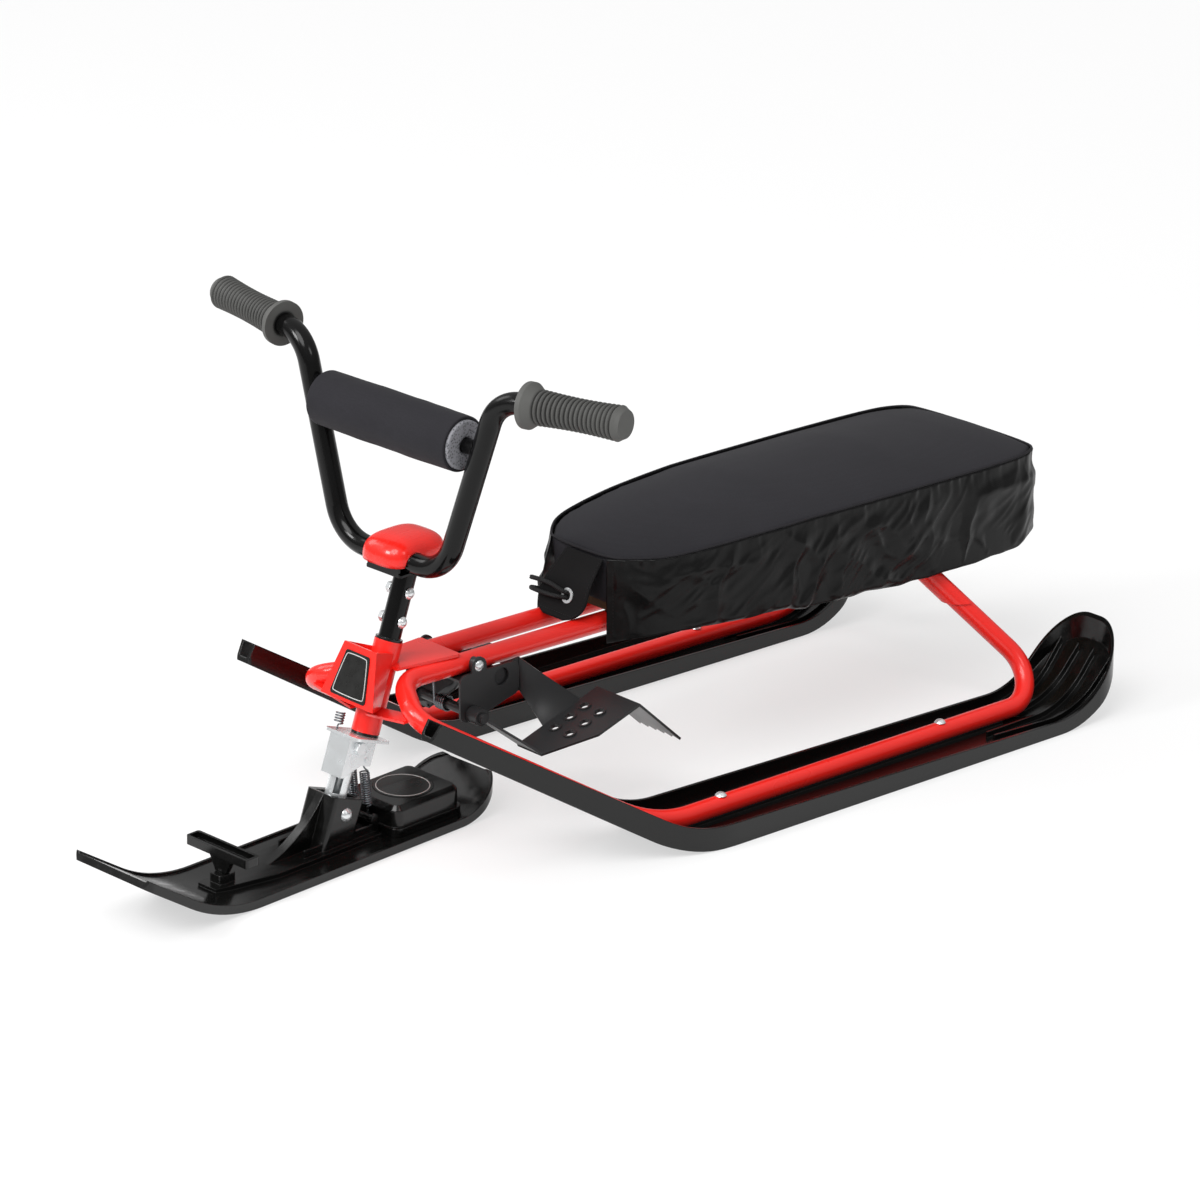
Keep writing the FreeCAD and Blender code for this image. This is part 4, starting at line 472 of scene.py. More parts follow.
@dataclass(frozen=True)
class Finish:
    """A surface finish: its name, colour and the plain values of its shader."""

    name: str
    colour: str
    roughness: float
    shade: str
    metallic: float = 0.0
    coat: float = 0.0
    coat_roughness: float = 0.1
    sheen: float = 0.0
    specular: float = 0.5
    grain_mm: float = 1.0
    relief_mm: float = 0.02
    edge_mm: float = 0.0

    def material(self) -> bpy.types.Material:
        """Return this finish's material, made the first time it is asked for."""
        found = bpy.data.materials.get(self.name)
        return found if found else self.made()

    def made(self) -> bpy.types.Material:
        """Make the material: a shader with plain values, then this finish's own pattern."""
        material = bpy.data.materials.new(self.name)
        material.use_nodes = True
        tree = material.node_tree
        shader = tree.nodes["Principled BSDF"]
        plain = {
            "Base Color": linear(self.colour), "Roughness": self.roughness, "Metallic": self.metallic,
            "Coat Weight": self.coat, "Coat Roughness": self.coat_roughness, "Sheen Weight": self.sheen,
            "Specular IOR Level": self.specular,
        }
        for key, value in plain.items():
            shader.inputs[key].default_value = value
        self.pattern(tree, shader, add_node(tree, "ShaderNodeTexCoord"))
        return material

    def mottle(self, tree: bpy.types.NodeTree, shader: bpy.types.Node, mask: bpy.types.NodeSocket) -> None:
        """Blend the colour towards its shade by a mask.

        Args:
            tree: The material's node tree.
            shader: Its surface shader.
            mask: Share of the shade, from 0 to 1.
        """
        mix = add_node(tree, "ShaderNodeMix", {"A": linear(self.colour), "B": linear(self.shade)},
                       {"Factor": mask}, data_type="RGBA")
        tree.links.new(mix.outputs["Result"], shader.inputs["Base Color"])

    def vary_gloss(self, tree: bpy.types.NodeTree, shader: bpy.types.Node, mask: bpy.types.NodeSocket,
                   spread: float) -> None:
        """Vary the roughness about its plain value by a mask.

        Args:
            tree: The material's node tree.
            shader: Its surface shader.
            mask: Noise from 0 to 1.
            spread: How far the roughness goes up and down.
        """
        gloss = ranged(tree, mask, (0.3, 0.7), (self.roughness - spread, self.roughness + spread))
        tree.links.new(gloss, shader.inputs["Roughness"])

    def relief(self, tree: bpy.types.NodeTree, shader: bpy.types.Node, height: bpy.types.NodeSocket,
               strength: float = 1.0) -> None:
        """Raise the surface by a height pattern, over softened edges where the finish has them.

        Args:
            tree: The material's node tree.
            shader: Its surface shader.
            height: Height from 0 to 1.
            strength: Share of the full effect.
        """
        links = {"Height": height}
        if self.edge_mm:
            bevel = add_node(tree, "ShaderNodeBevel", {"Radius": self.edge_mm * MM}, samples=4)
            links["Normal"] = bevel.outputs["Normal"]
        bump = add_node(tree, "ShaderNodeBump", {"Distance": self.relief_mm * MM, "Strength": strength},
                        links)
        tree.links.new(bump.outputs["Normal"], shader.inputs["Normal"])

    def pattern(self, tree: bpy.types.NodeTree, shader: bpy.types.Node, place: bpy.types.Node) -> None:
        """Give the surface its own grain; the plain one is a fine even noise.

        Args:
            tree: The material's node tree.
            shader: Its surface shader.
            place: The texture coordinate node.
        """
        grain = noise(tree, place.outputs["Object"], self.grain_mm, 2.0)
        self.mottle(tree, shader, grain)
        self.relief(tree, shader, grain)


@dataclass(frozen=True)
class Enamel(Finish):
    """Baked powder or paint on steel: an even gloss whose faint orange peel ripples the highlights."""

    def pattern(self, tree: bpy.types.NodeTree, shader: bpy.types.Node, place: bpy.types.Node) -> None:
        """Orange peel of a couple of millimetres, with slow tone changes of a hand's width."""
        peel = noise(tree, place.outputs["Object"], self.grain_mm, 1.0)
        tone = noise(tree, place.outputs["Object"], 70.0, 2.0)
        self.vary_gloss(tree, shader, tone, 0.06)
        self.mottle(tree, shader, tone)
        self.relief(tree, shader, peel)


@dataclass(frozen=True)
class Moulding(Finish):
    """Injection-moulded plastic: glossy, with fine mould grain and faint rub marks along the part."""

    def pattern(self, tree: bpy.types.NodeTree, shader: bpy.types.Node, place: bpy.types.Node) -> None:
        """Mould grain of about a millimetre, and rub marks stretched along Y that dull the gloss."""
        grain = noise(tree, place.outputs["Object"], self.grain_mm, 3.0)
        rubs = noise(tree, stretched(tree, place.outputs["Object"], 0.06), 9.0, 4.0)
        self.vary_gloss(tree, shader, rubs, 0.07)
        self.mottle(tree, shader, rubs)
        self.relief(tree, shader, grain)


@dataclass(frozen=True)
class Plating(Finish):
    """Bright metal plate: crystal patches of a few millimetres that vary in tone and gloss."""

    def pattern(self, tree: bpy.types.NodeTree, shader: bpy.types.Node, place: bpy.types.Node) -> None:
        """Crystal cells in relief, with cloudy tone and gloss."""
        crystals = cells(tree, place.outputs["Object"], self.grain_mm)
        cloud = noise(tree, place.outputs["Object"], 14.0, 3.0)
        self.vary_gloss(tree, shader, cloud, 0.08)
        self.mottle(tree, shader, cloud)
        self.relief(tree, shader, crystals, 0.4)


@dataclass(frozen=True)
class Weave(Finish):
    """Woven cloth: two crossed thread directions on the piece's own cut, with soft tone changes."""

    def pattern(self, tree: bpy.types.NodeTree, shader: bpy.types.Node, place: bpy.types.Node) -> None:
        """Threads as two crossed wave bands, drawn coarser than real so that they show."""
        settings = {"Scale": bands_per_metre(self.grain_mm), "Distortion": 0.5, "Detail": 1.0}
        bands = [add_node(tree, "ShaderNodeTexWave", settings, {"Vector": place.outputs["UV"]},
                          bands_direction=way).outputs["Fac"] for way in ("X", "Y")]
        threads = product(tree, bands[0], bands[1])
        tone = noise(tree, place.outputs["Object"], 26.0, 4.0)
        self.vary_gloss(tree, shader, tone, 0.08)
        self.mottle(tree, shader, product(tree, threads, tone))
        self.relief(tree, shader, threads, 0.6)


@dataclass(frozen=True)
class Knit(Finish):
    """Fine matt knit bonded to foam: tiny even stitches and a soft bloom at grazing angles."""

    def pattern(self, tree: bpy.types.NodeTree, shader: bpy.types.Node, place: bpy.types.Node) -> None:
        """Stitch cells, drawn at twice their real size so that they show, and slow tone changes."""
        stitches = cells(tree, place.outputs["Object"], self.grain_mm, 0.5)
        tone = noise(tree, place.outputs["Object"], 45.0, 3.0)
        self.mottle(tree, shader, product(tree, stitches, tone))
        self.relief(tree, shader, stitches, 0.5)


@dataclass(frozen=True)
class OpenFoam(Finish):
    """Cut open-cell foam: pale cell walls round pores darkened with painted shade."""

    def pattern(self, tree: bpy.types.NodeTree, shader: bpy.types.Node, place: bpy.types.Node) -> None:
        """Pores as cell middles darkened with painted shade, with raised walls between them."""
        pores = cells(tree, place.outputs["Object"], self.grain_mm)
        self.mottle(tree, shader, ranged(tree, pores, (0.1, 0.5), (1.0, 0.0)))
        self.relief(tree, shader, pores)


@dataclass(frozen=True)
class Grooved(Finish):
    """Matt moulding with painted shade that darkens its grooves below its ribs."""

    def pattern(self, tree: bpy.types.NodeTree, shader: bpy.types.Node, place: bpy.types.Node) -> None:
        """Painted shade where a few millimetres round the surface are closed in, and a fine grain."""
        shut = add_node(tree, "ShaderNodeAmbientOcclusion", {"Distance": 3.5 * MM}, samples=8)
        self.mottle(tree, shader, ranged(tree, shut.outputs["AO"], (0.76, 0.97), (1.0, 0.0)))
        self.relief(tree, shader, noise(tree, place.outputs["Object"], self.grain_mm, 2.0))


@dataclass(frozen=True)
class Plywood(Finish):
    """Plywood: straight grain with darker growth lines."""

    def pattern(self, tree: bpy.types.NodeTree, shader: bpy.types.Node, place: bpy.types.Node) -> None:
        """Growth lines a few millimetres apart, stretched along Y."""
        lines = noise(tree, stretched(tree, place.outputs["Object"], 0.08), self.grain_mm, 5.0)
        self.mottle(tree, shader, lines)
        self.relief(tree, shader, lines)


# Powder-coated steel tube: bright even red with a soft gloss
RED_POWDER = Enamel("Red powder-coated steel", "#F7281F", 0.32, "#EE2119", coat=0.4, coat_roughness=0.14,
                    specular=0.35, grain_mm=2.2, relief_mm=0.03, edge_mm=0.7)
# Glossy ABS moulding in the same red, a little smoother
RED_ABS = Moulding("Red moulded ABS", "#F4251C", 0.26, "#E81E16", coat=0.35, specular=0.35, grain_mm=1.6,
                   relief_mm=0.015, edge_mm=1.6)
# Black polyethylene moulding: deep, with narrow soft highlights and faint rubbing
BLACK_PE = Moulding("Black moulded polyethylene", "#060606", 0.2, "#0D0D0C", specular=0.45, grain_mm=0.9,
                    relief_mm=0.015, edge_mm=1.2)
# Black stove paint on steel tube: deep gloss
BLACK_PAINT = Enamel("Black gloss paint on steel", "#060606", 0.18, "#0B0B0B", coat=0.1,
                     coat_roughness=0.06, specular=0.2, grain_mm=2.5, relief_mm=0.02, edge_mm=0.7)
# Dark passivated steel sheet: satin grey-black with sheared edges
DARK_STEEL = Enamel("Dark satin steel sheet", "#2A2A2B", 0.34, "#222223", specular=0.35, grain_mm=1.4,
                    relief_mm=0.02, edge_mm=0.6)
# Bright zinc on screws and the fork
ZINC = Plating("Bright zinc-plated steel", "#F6F8F9", 0.22, "#E6EAEC", metallic=0.7, grain_mm=3.0,
               relief_mm=0.01, edge_mm=0.4)
# Drawn spring wire, darker than the zinc
SPRING_WIRE = Plating("Drawn spring steel wire", "#85898D", 0.28, "#6C7074", metallic=1.0, grain_mm=2.0,
                      relief_mm=0.01)
# Moulded rubber of the grips: matt, with painted shade in its grooves
RUBBER = Grooved("Moulded grey rubber", "#565654", 0.6, "#070706", specular=0.3, grain_mm=0.7,
                 relief_mm=0.05, edge_mm=0.3)
# Knit-faced foam of the seat top and the bar pad
KNIT = Knit("Charcoal knit cover", "#201F23", 0.84, "#29282D", sheen=0.04, specular=0.2, grain_mm=2.0,
            relief_mm=0.1)
# The same knit on the tongue, in a darker copy of its colours
TONGUE_KNIT = Knit("Black knit tongue", "#090809", 0.8, "#0F0E0F", specular=0.2, grain_mm=2.0,
                   relief_mm=0.1)
# Thin nylon of the skirt: near black, with a soft sheen on each crease; real threads are 0.3 mm
NYLON = Weave("Black nylon taffeta", "#070707", 0.36, "#0F0F0F", specular=0.22, grain_mm=1.8,
              relief_mm=0.04)
# Polyester piping that edges the seat top
PIPING = Weave("Dark polyester piping", "#1B1A1D", 0.75, "#2A292D", specular=0.25, grain_mm=1.2,
               relief_mm=0.05)
# Spun polyester thread
THREAD = Finish("Black polyester thread", "#161617", 0.7, "#222223", specular=0.3, grain_mm=0.5,
                relief_mm=0.03)
# Braided polypropylene cord, its fibres finer than its plaits
CORD = Weave("Black braided cord", "#0C0C0D", 0.5, "#18181A", specular=0.35, grain_mm=0.6, relief_mm=0.03)
# Grey polyether foam of the bar pad, cut open at its ends
FOAM = OpenFoam("Grey open-cell foam", "#8A8A8F", 0.95, "#333337", specular=0.1, grain_mm=2.2,
                relief_mm=0.3)
# Natural nylon of the spool
NATURAL_NYLON = Moulding("Natural moulded nylon", "#D8D6CE", 0.42, "#CBC8BE", grain_mm=1.0, relief_mm=0.02)
# Bare badge plates, and the pale line printed round them
PLATE = Moulding("Black badge plate", "#1A1A19", 0.3, "#20201F", specular=0.3, grain_mm=0.8, relief_mm=0.01,
                 edge_mm=0.3)
PALE_LINE = Finish("Pale grey enamel line", "#C9C9C7", 0.4, "#BDBDBB", grain_mm=0.6, relief_mm=0.01)
# Plywood of the seat board, bare, darkened with painted shade for its place under the cloth
BOARD_PLY = Plywood("Birch plywood in painted shade", "#6A5336", 0.7, "#523F28", grain_mm=3.0, relief_mm=0.05)

NODE_FINISHES: dict[Finish, tuple[str, ...]] = {
    RED_POWDER: ("frame_tube_left", "frame_tube_right", "head_tube", "head_box", "top_gusset",
                 "lower_straps", "seat_rail_front", "seat_rail_rear", "seat_stay_left", "seat_stay_right"),
    RED_ABS: ("bar_cap",),
    BLACK_PE: ("rear_ski_left", "rear_ski_right", "front_ski", "winder_housing", "winder_lid", "tow_handle",
               "upper_head_bush", "lower_head_bush"),
    BLACK_PAINT: ("handlebar", "crossbar", "steering_column", "bar_cradle"),
    DARK_STEEL: ("brake_bracket", "brake_shaft", "brake_pedal_left", "brake_pedal_right", "brake_tie_rod"),
    ZINC: ("ski_screws", "seat_bolts", "flap_eyelet", "brake_rivets", "steering_tube", "column_bolts",
           "column_nuts", "cap_screws", "fork_bracket", "fork_leg", "fork_bolt", "fork_nut", "pivot_bolt",
           "pivot_nut", "winder_axle"),
    SPRING_WIRE: ("brake_spring", "buffer_spring", "ski_springs", "winder_mainspring"),
    RUBBER: ("grip_left", "grip_right"),
    KNIT: ("seat_cushion", "seat_flap", "pad_cover"),
    NYLON: ("seat_skirt", "seat_drawstring"),
    FOAM: ("pad_foam",),
    NATURAL_NYLON: ("winder_spool",),
    PLATE: ("head_badge", "winder_badge"),
    BOARD_PLY: ("seat_board",),
}


def dress_nodes() -> None:
    """Give every carried-over node the material of its finish."""
    for finish, names in NODE_FINISHES.items():
        for name in names:
            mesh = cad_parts[name].data
            mesh.materials.clear()
            mesh.materials.append(finish.material())


def fitted(piece: bpy.types.Object, body: Body, finish: Finish, slot: str, *nodes: str) -> bpy.types.Object:
    """Dress a new piece and set what it rides on, stands for and takes its finish from.

    Args:
        piece: The new piece, in place.
        body: The body it rides on.
        finish: Its finish.
        slot: The record's material slot; not used.
        nodes: The nodes it stands for.
    Returns:
        The same piece.
    """
    piece.data.materials.clear()
    piece.data.materials.append(finish.material())
    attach(piece, body.value)
    if nodes:
        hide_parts(*nodes)
    log.info("%s: %d vertices", piece.name, len(piece.data.vertices))
    return piece


# Sub-assemblies

@dataclass
class Drawstring:
    """Two cord ends of the seat's drawstring, out of the tongue's eyelet, in millimetres."""

    eyelet: tuple[float, float, float] = (8.0, -2.674, 194.0)
    out: tuple[float, float, float] = (0.0, -0.9561, 0.2927)
    down: tuple[float, float, float] = (0.0, -0.2927, -0.9561)
    radius: float = 2.0
    plait: float = 9.0
    # Shares of the cord's radius
    strand_share: float = 0.36
    core_share: float = 0.86
    # Strands that turn each way
    strands: int = 4
    # Routes as steps across, down and out from the eyelet
    free_route: tuple[tuple[float, float, float], ...] = (
        (0.0, -2.05, -3.2), (-1.0, -2.6, 6.6), (-22.0, -6.5, 5.8), (-42.0, -6.2, 5.2), (-54.0, -5.05, 4.9))
    wrapped_route: tuple[tuple[float, float, float], ...] = (
        (0.0, 2.05, -3.2), (-1.0, 2.4, 6.4), (-22.0, 5.2, 5.4), (-52.0, 5.05, 5.8), (-53.0, 5.05, -1.0),
        (-48.2, 5.05, -8.2))

    def route(self, steps: tuple[tuple[float, float, float], ...]) -> np.ndarray:
        """Points read from a smooth spline that has the route's points as its control points.

        Args:
            steps: The route, as steps across, down and out from the eyelet.
        Returns:
            Evenly spaced points in the row frame, in metres.
        """
        directions = np.array(((1.0, 0.0, 0.0), self.down, self.out))
        points = placed(np.array(self.eyelet) + np.array(steps) @ directions)
        curve = bpy.data.curves.new("route", "CURVE")
        curve.dimensions = "3D"
        spline = curve.splines.new("NURBS")
        spline.points.add(len(points) - 1)
        spline.points.foreach_set("co", np.column_stack((points, np.ones(len(points)))).ravel())
        spline.order_u = 3
        spline.use_endpoint_u = True
        spline.resolution_u = 24
        holder = bpy.data.objects.new("route", curve)
        mesh = bpy.data.meshes.new_from_object(holder)
        read = vertex_places(mesh).astype(float)
        bpy.data.objects.remove(holder)
        bpy.data.curves.remove(curve)
        bpy.data.meshes.remove(mesh)
        return resampled(read, 120)

    def braid(self, path: np.ndarray) -> list[Patch]:
        """Eight plaited strands on a core: helices of both hands that dip under one another in turn.

        A strand's centre is the path point plus a radius that rises and falls by a cosine, at an angle
        that grows evenly with the length.

        Args:
            path: Points of the cord's line in metres.
        Returns:
            The strands and the core.
        """
        reference = np.array(self.down)
        strand = self.radius * self.strand_share * MM
        turn = run_lengths(path) / (self.plait * MM) * math.tau
        first, second = square_directions(path, reference)
        patches = [capped(tube_grid(path, self.radius * self.core_share * MM, 10, reference))]
        for hand in (1.0, -1.0):
            lift = self.radius * MM - strand * (0.5 + 0.25 * hand * np.cos(self.strands * turn))
            for start in np.arange(self.strands) * math.tau / self.strands:
                angle = hand * turn + start
                sideways, upwards = (np.cos(angle) * lift)[:, None], (np.sin(angle) * lift)[:, None]
                line = path + first * sideways + second * upwards
                patches.append(capped(tube_grid(line, strand, 6, reference)))
        return patches

    def build(self) -> None:
        """Make both cord ends: one cut bare, one taken back behind the tongue."""
        ends = (("drawstring_free_end", self.free_route, "bare"),
                ("drawstring_wrapped_end", self.wrapped_route, "object"))
        for name, steps, far_end in ends:
            path = self.route(steps)
            piece = made_piece(name, *self.braid(path))
            fitted(piece, Body.FRAME, CORD, "black_nylon", "seat_drawstring")


@dataclass
class Seat:
    """Padded seat: crowned cushion, piping, gathered skirt and front tongue, in millimetres."""

    places: tuple[float, ...] = (18.0, 31.7, 59.6, 100.2, 149.5, 234.5, 398.9, 518.3, 552.8, 566.0)
    halves: tuple[float, ...] = (41.1, 59.9, 83.3, 94.0, 102.0, 109.0, 111.0, 109.9, 99.9, 82.1)
    seams: tuple[float, ...] = (237.0, 237.6, 238.8, 241.8, 245.0, 248.4, 249.0, 249.0, 249.0, 249.0)
    crowns: tuple[float, ...] = (3.0, 6.0, 9.0, 12.0, 15.0, 18.5, 19.0, 12.0, 8.0, 4.0)
    base_z: float = 187.4
    inset: float = 1.5
    draw: float = 5.0
    # Mesh size and settings of the swelling: how deep below the seam and how far in it is held
    voxel: float = 5.0
    held_depth: float = 8.0
    held_rim: float = 14.0
    pressure: float = 4.0
    swell_steps: int = 20
    swell_cap: float = 5.0
    piping_r: float = 1.25
    thread_r: float = 0.3
    hem_places: tuple[float, ...] = (18.0, 36.0, 60.0, 100.0, 150.0, 281.0, 393.0, 480.0, 540.0, 566.0)
    hem_heights: tuple[float, ...] = (150.0, 155.0, 160.0, 162.0, 159.5, 155.0, 147.0, 148.0, 154.0, 157.0)
    hem_wave: Folds = Folds(2.2, 22.0, 1.0, 29)
    fullness: float = 1.08
    cloth: float = 0.6
    drop: float = 88.0
    band: float = 9.0
    far_lean: float = 18.0
    far_lean_reach: float = 26.0
    skirt_columns: int = 900
    skirt_rows: int = 46
    # Folds of the skirt; those of the pucker and the ruffle have their height as a share of the drop
    slow_bend: Folds = Folds(0.9, 55.0, 42.0, 41)
    billow: Folds = Folds(3.0, 64.0, 70.0, 3, bend=1.0)
    creases: tuple[Folds, ...] = (
        Folds(5.0, 33.0, 60.0, 7, slant=0.5, shift=3.0, bend=1.0),
        Folds(4.4, 47.0, 40.0, 11, slant=-1.1, shift=9.0, bend=-1.0),
        Folds(1.6, 15.0, 24.0, 13, slant=1.3, bend=1.0))
    crease_level: float = 0.35
    pucker: Folds = Folds(1.3, 6.5, 1 / 2, 17)
    ruffle: Folds = Folds(1.3, 12.0, 1 / 3, 23)
    tongue_half: float = 37.0
    tongue_corner: float = 27.0
    tongue_thickness: float = 1.6
    tongue_drop: float = 70.0
    tongue_slant: float = 20.0
    tongue_line: tuple[tuple[float, float], ...] = (
        (17.7, 234.0), (8.5, 218.5), (1.0, 206.0), (-4.0, 189.0), (-10.0, 178.6), (-16.5, 173.0))

    def edge(self, closed: bool) -> np.ndarray:
        """Return the seat outline in plan from the left front corner round the rear, corners rounded."""
        left = np.stack((self.halves, self.places), -1)
        right = np.stack((-np.array(self.halves), self.places), -1)[::-1]
        return softened(np.concatenate((left, right)), 3, closed)

    def seam_height(self, y: np.ndarray) -> np.ndarray:
        """Return the height of the top seam at places along the seat."""
        return np.interp(y, self.places, self.seams)

    def cushion(self) -> None:
        """Make the pad as a stack of sections across the seat, then swell it as cloth under pressure.

        Section: a flat base, sides drawn in by a sine, and a top whose height is the seam plus the crown
        times one minus the square of the share across. The sections follow the seat's outline.
        """
        y = np.linspace(self.places[0] + self.inset, self.places[-1] - self.inset, 120)
        half = np.interp(y, self.places, self.halves) - self.inset
        # Mean of seven neighbours, so that the plan has no corners
        half = np.convolve(np.pad(half, 3, mode="edge"), np.ones(7) / 7, "valid")
        seam = self.seam_height(y) - 1.0
        crown = np.interp(y, self.places, self.crowns)
        top_share = np.linspace(1.0, -1.0, 33)
        side_share = np.linspace(0.0, 1.0, 9)[1:-1]
        top_x = half[:, None] * top_share
        top_z = seam[:, None] + crown[:, None] * (1 - top_share ** 2)
        wall_z = seam[:, None] + (self.base_z - seam)[:, None] * side_share
        wall_x = half[:, None] - self.draw * np.sin(math.pi * side_share)
        base_x = half[:, None] * np.linspace(-1.0, 1.0, 17)
        x = np.concatenate((top_x, -wall_x, base_x, wall_x[:, ::-1]), 1)
        z = np.concatenate((top_z, wall_z, np.full_like(base_x, self.base_z), wall_z[:, ::-1]), 1)
        grid = np.stack((x, np.broadcast_to(y[:, None], x.shape), z), -1)
        piece = made_piece("seat_pad", capped(placed(grid)))
        self.swell(piece)
        fitted(piece, Body.FRAME, KNIT, "charcoal_cloth", "seat_cushion")

    def swell(self, piece: bpy.types.Object) -> None:
        """Remesh a pad evenly and let cloth under pressure swell its top, held at the seam and below.

        Args:
            piece: The pad, changed in place.
        """
        mesh = piece.data
        mesh.remesh_voxel_size = self.voxel * MM
        with bpy.context.temp_override(active_object=piece, object=piece, selected_objects=[piece]):
            bpy.ops.object.voxel_remesh()
        rest = vertex_places(mesh)
        local = rest / MM - MID_PLANE
        below = np.clip((self.seam_height(local[:, 1]) + 1.0 - local[:, 2]) / self.held_depth, 0.0, 1.0)
        side = np.interp(local[:, 1], self.places, self.halves) - np.abs(local[:, 0])
        ends = np.minimum(local[:, 1] - self.places[0], self.places[-1] - local[:, 1])
        rim = 1.0 - np.minimum(side, ends) / self.held_rim
        hold = np.maximum(below, rim).clip(0.0, 1.0)
        group = piece.vertex_groups.new(name="held")
        levels = np.round(hold, 1)
        for level in np.unique(levels):
            group.add(np.flatnonzero(levels == level).tolist(), float(level), "REPLACE")
        cloth = piece.modifiers.new("swell", "CLOTH")
        cloth.settings.use_pressure = True
        cloth.settings.uniform_pressure_force = self.pressure
        cloth.settings.effector_weights.gravity = 0.0
        cloth.settings.vertex_group_mass = "held"
        cloth.point_cache.frame_end = self.swell_steps
        for step in range(1, self.swell_steps + 1):
            bpy.context.scene.frame_set(step)
        settled = piece.evaluated_get(bpy.context.evaluated_depsgraph_get())
        move = vertex_places(settled.data) - rest
        length = np.maximum(np.linalg.norm(move, axis=1), 1e-9)[:, None]
        move *= np.minimum(1.0, self.swell_cap * MM / length) * (1.0 - hold)[:, None]
        piece.modifiers.clear()
        piece.vertex_groups.clear()
        mesh.vertices.foreach_set("co", (rest + move).ravel())
        bpy.context.scene.frame_set(1)
        even = piece.modifiers.new("even", "SMOOTH")
        even.factor = 0.5
        even.iterations = 5
        finer = piece.modifiers.new("finer", "SUBSURF")
        finer.levels = finer.render_levels = 1
        mesh.polygons.foreach_set("use_smooth", np.ones(len(mesh.polygons), bool))
        mesh.update()

    def piping(self) -> None:
        """Edge the seat top with a thin cord: a circle carried round the outline at the seam."""
        outline = self.edge(True)
        line = resampled(np.concatenate((outline, outline[:1])), 481)[:-1]
        path = placed(np.column_stack((line, self.seam_height(line[:, 1]) + 0.4)))
        grid = tube_grid(path, self.piping_r * MM, 10, UP, closed=True)
        fitted(made_piece("seat_piping", ring(grid)), Body.FRAME, PIPING, "charcoal_cloth")

    def stand_off(self, along: np.ndarray, down: np.ndarray) -> np.ndarray:
        """How far the skirt stands off its line, in millimetres.

        A belly that is fullest half way down, broad billows, two sets of slanting creases and a finer one,
        each the fold of a smooth noise whose own place is bent by a slow noise, short puckers under the
        seam that die out within a few centimetres, ruffles along the hem, and a hem drawn in at the bottom.

        Args:
            along: Length along the seam.
            down: Share of the way from seam to hem.
        Returns:
            Outward distance for each point.
        """
        drop = down * self.drop
        bend = self.slow_bend.depth * self.slow_bend.noise(along, drop)
        belly = 2.6 * np.sin(math.pi * down) ** 0.8 + 1.4 * down
        billow = self.billow.depth * self.billow.noise(along, drop, bend)
        creases = sum(folds.depth * (self.crease_level - np.abs(folds.noise(along, drop, bend)))
                      for folds in self.creases)
        pucker = self.pucker.depth * self.pucker.noise(along, down) * np.exp(-down / 0.14)
        ruffle = self.ruffle.depth * self.ruffle.noise(along, down) * np.clip((down - 0.72) / 0.28, 0, 1)
        drawn = 3.5 * np.clip((down - 0.93) / 0.07, 0, 1) ** 2
        grow = np.clip(down / 0.25, 0.0, 1.0)
        return belly + (billow * down + creases) * grow + pucker + ruffle - drawn

    def skirt_line(self) -> np.ndarray:
        """Return the seat outline as the evenly spaced points that the skirt hangs from."""
        return resampled(self.edge(False), self.skirt_columns)

    def skirt(self) -> None:
        """Hang the gathered nylon from the seam round the sides and the rear.

        Surface over length along the outline and share of the drop: the outline point moved out by the
        stand-off, at a height between the seam and a slightly wavy hem. Near its two front edges the cloth
        is folded back double, so its folds are flatter there and it stands out by one more thickness. On
        the far side the front edge is drawn forward by a share that dies away along the seam.
        """
        line = self.skirt_line()
        lengths = run_lengths(line)
        tangent = unit(np.gradient(line, axis=0))
        out = np.stack((tangent[:, 1], -tangent[:, 0]), -1)
        down = np.linspace(0.0, 1.0, self.skirt_rows)[:, None]
        seam = self.seam_height(line[:, 1])[None] - 0.8
        hem = np.interp(line[:, 1], self.hem_places, self.hem_heights)
        hem = (hem + self.hem_wave.depth * self.hem_wave.noise(lengths, np.zeros_like(lengths)))[None]
        end = np.minimum(lengths, lengths[-1] - lengths)
        double = 1.0 / (1.0 + np.exp((end - self.band) / 0.7))
        off = self.stand_off(lengths[None] * self.fullness, down) * (1.0 - 0.7 * double)
        off = np.maximum(off + double * self.cloth + 0.9, 0.7)
        plan = line[None] + out[None] * off[..., None]
        near_end = np.exp((lengths - lengths[-1]) / self.far_lean_reach)[None]
        plan[..., 1] -= self.far_lean * near_end * np.sin(math.pi / 2 * down)
        grid = np.concatenate((plan, (seam + (hem - seam) * down)[..., None]), -1)
        piece = made_piece("seat_skirt_cloth", Patch(placed(grid)[:, ::-1]))
        self.thicken(piece, self.cloth, -1.0)
        fitted(piece, Body.FRAME, NYLON, "black_nylon", "seat_skirt")

    def thicken(self, piece: bpy.types.Object, thickness: float, side: float) -> None:
        """Give a sheet its thickness.

        Args:
            piece: The sheet.
            thickness: In millimetres.
            side: 1 to grow outwards, -1 to grow inwards.
        """
        thick = piece.modifiers.new("cloth", "SOLIDIFY")
        thick.thickness = thickness * MM
        thick.offset = side

    def skirt_stitches(self) -> None:
        """Sew down the folded-back front edge of the skirt on the near side."""
        line = self.skirt_line()
        lengths = run_lengths(line)
        at = self.band - 2.0
        point, beyond = (np.array([np.interp(place, lengths, line[:, k]) for k in range(2)])
                         for place in (at, at + 1.0))
        ahead = unit(beyond - point)
        base = point + np.array((ahead[1], -ahead[0])) * 2.6
        high, low = float(self.seam_height(point[1:])[0]) - 4.0, float(self.hem_heights[0]) + 4.0
        path = np.array(((base[0], base[1], high), (base[0], base[1], low)))
        patches = stitch_patches(placed(path), 3.6 * MM, self.thread_r * MM, np.array((1.0, 0.3, 0.0)))
        fitted(made_piece("skirt_stitches", *patches), Body.FRAME, THREAD, "black_nylon")

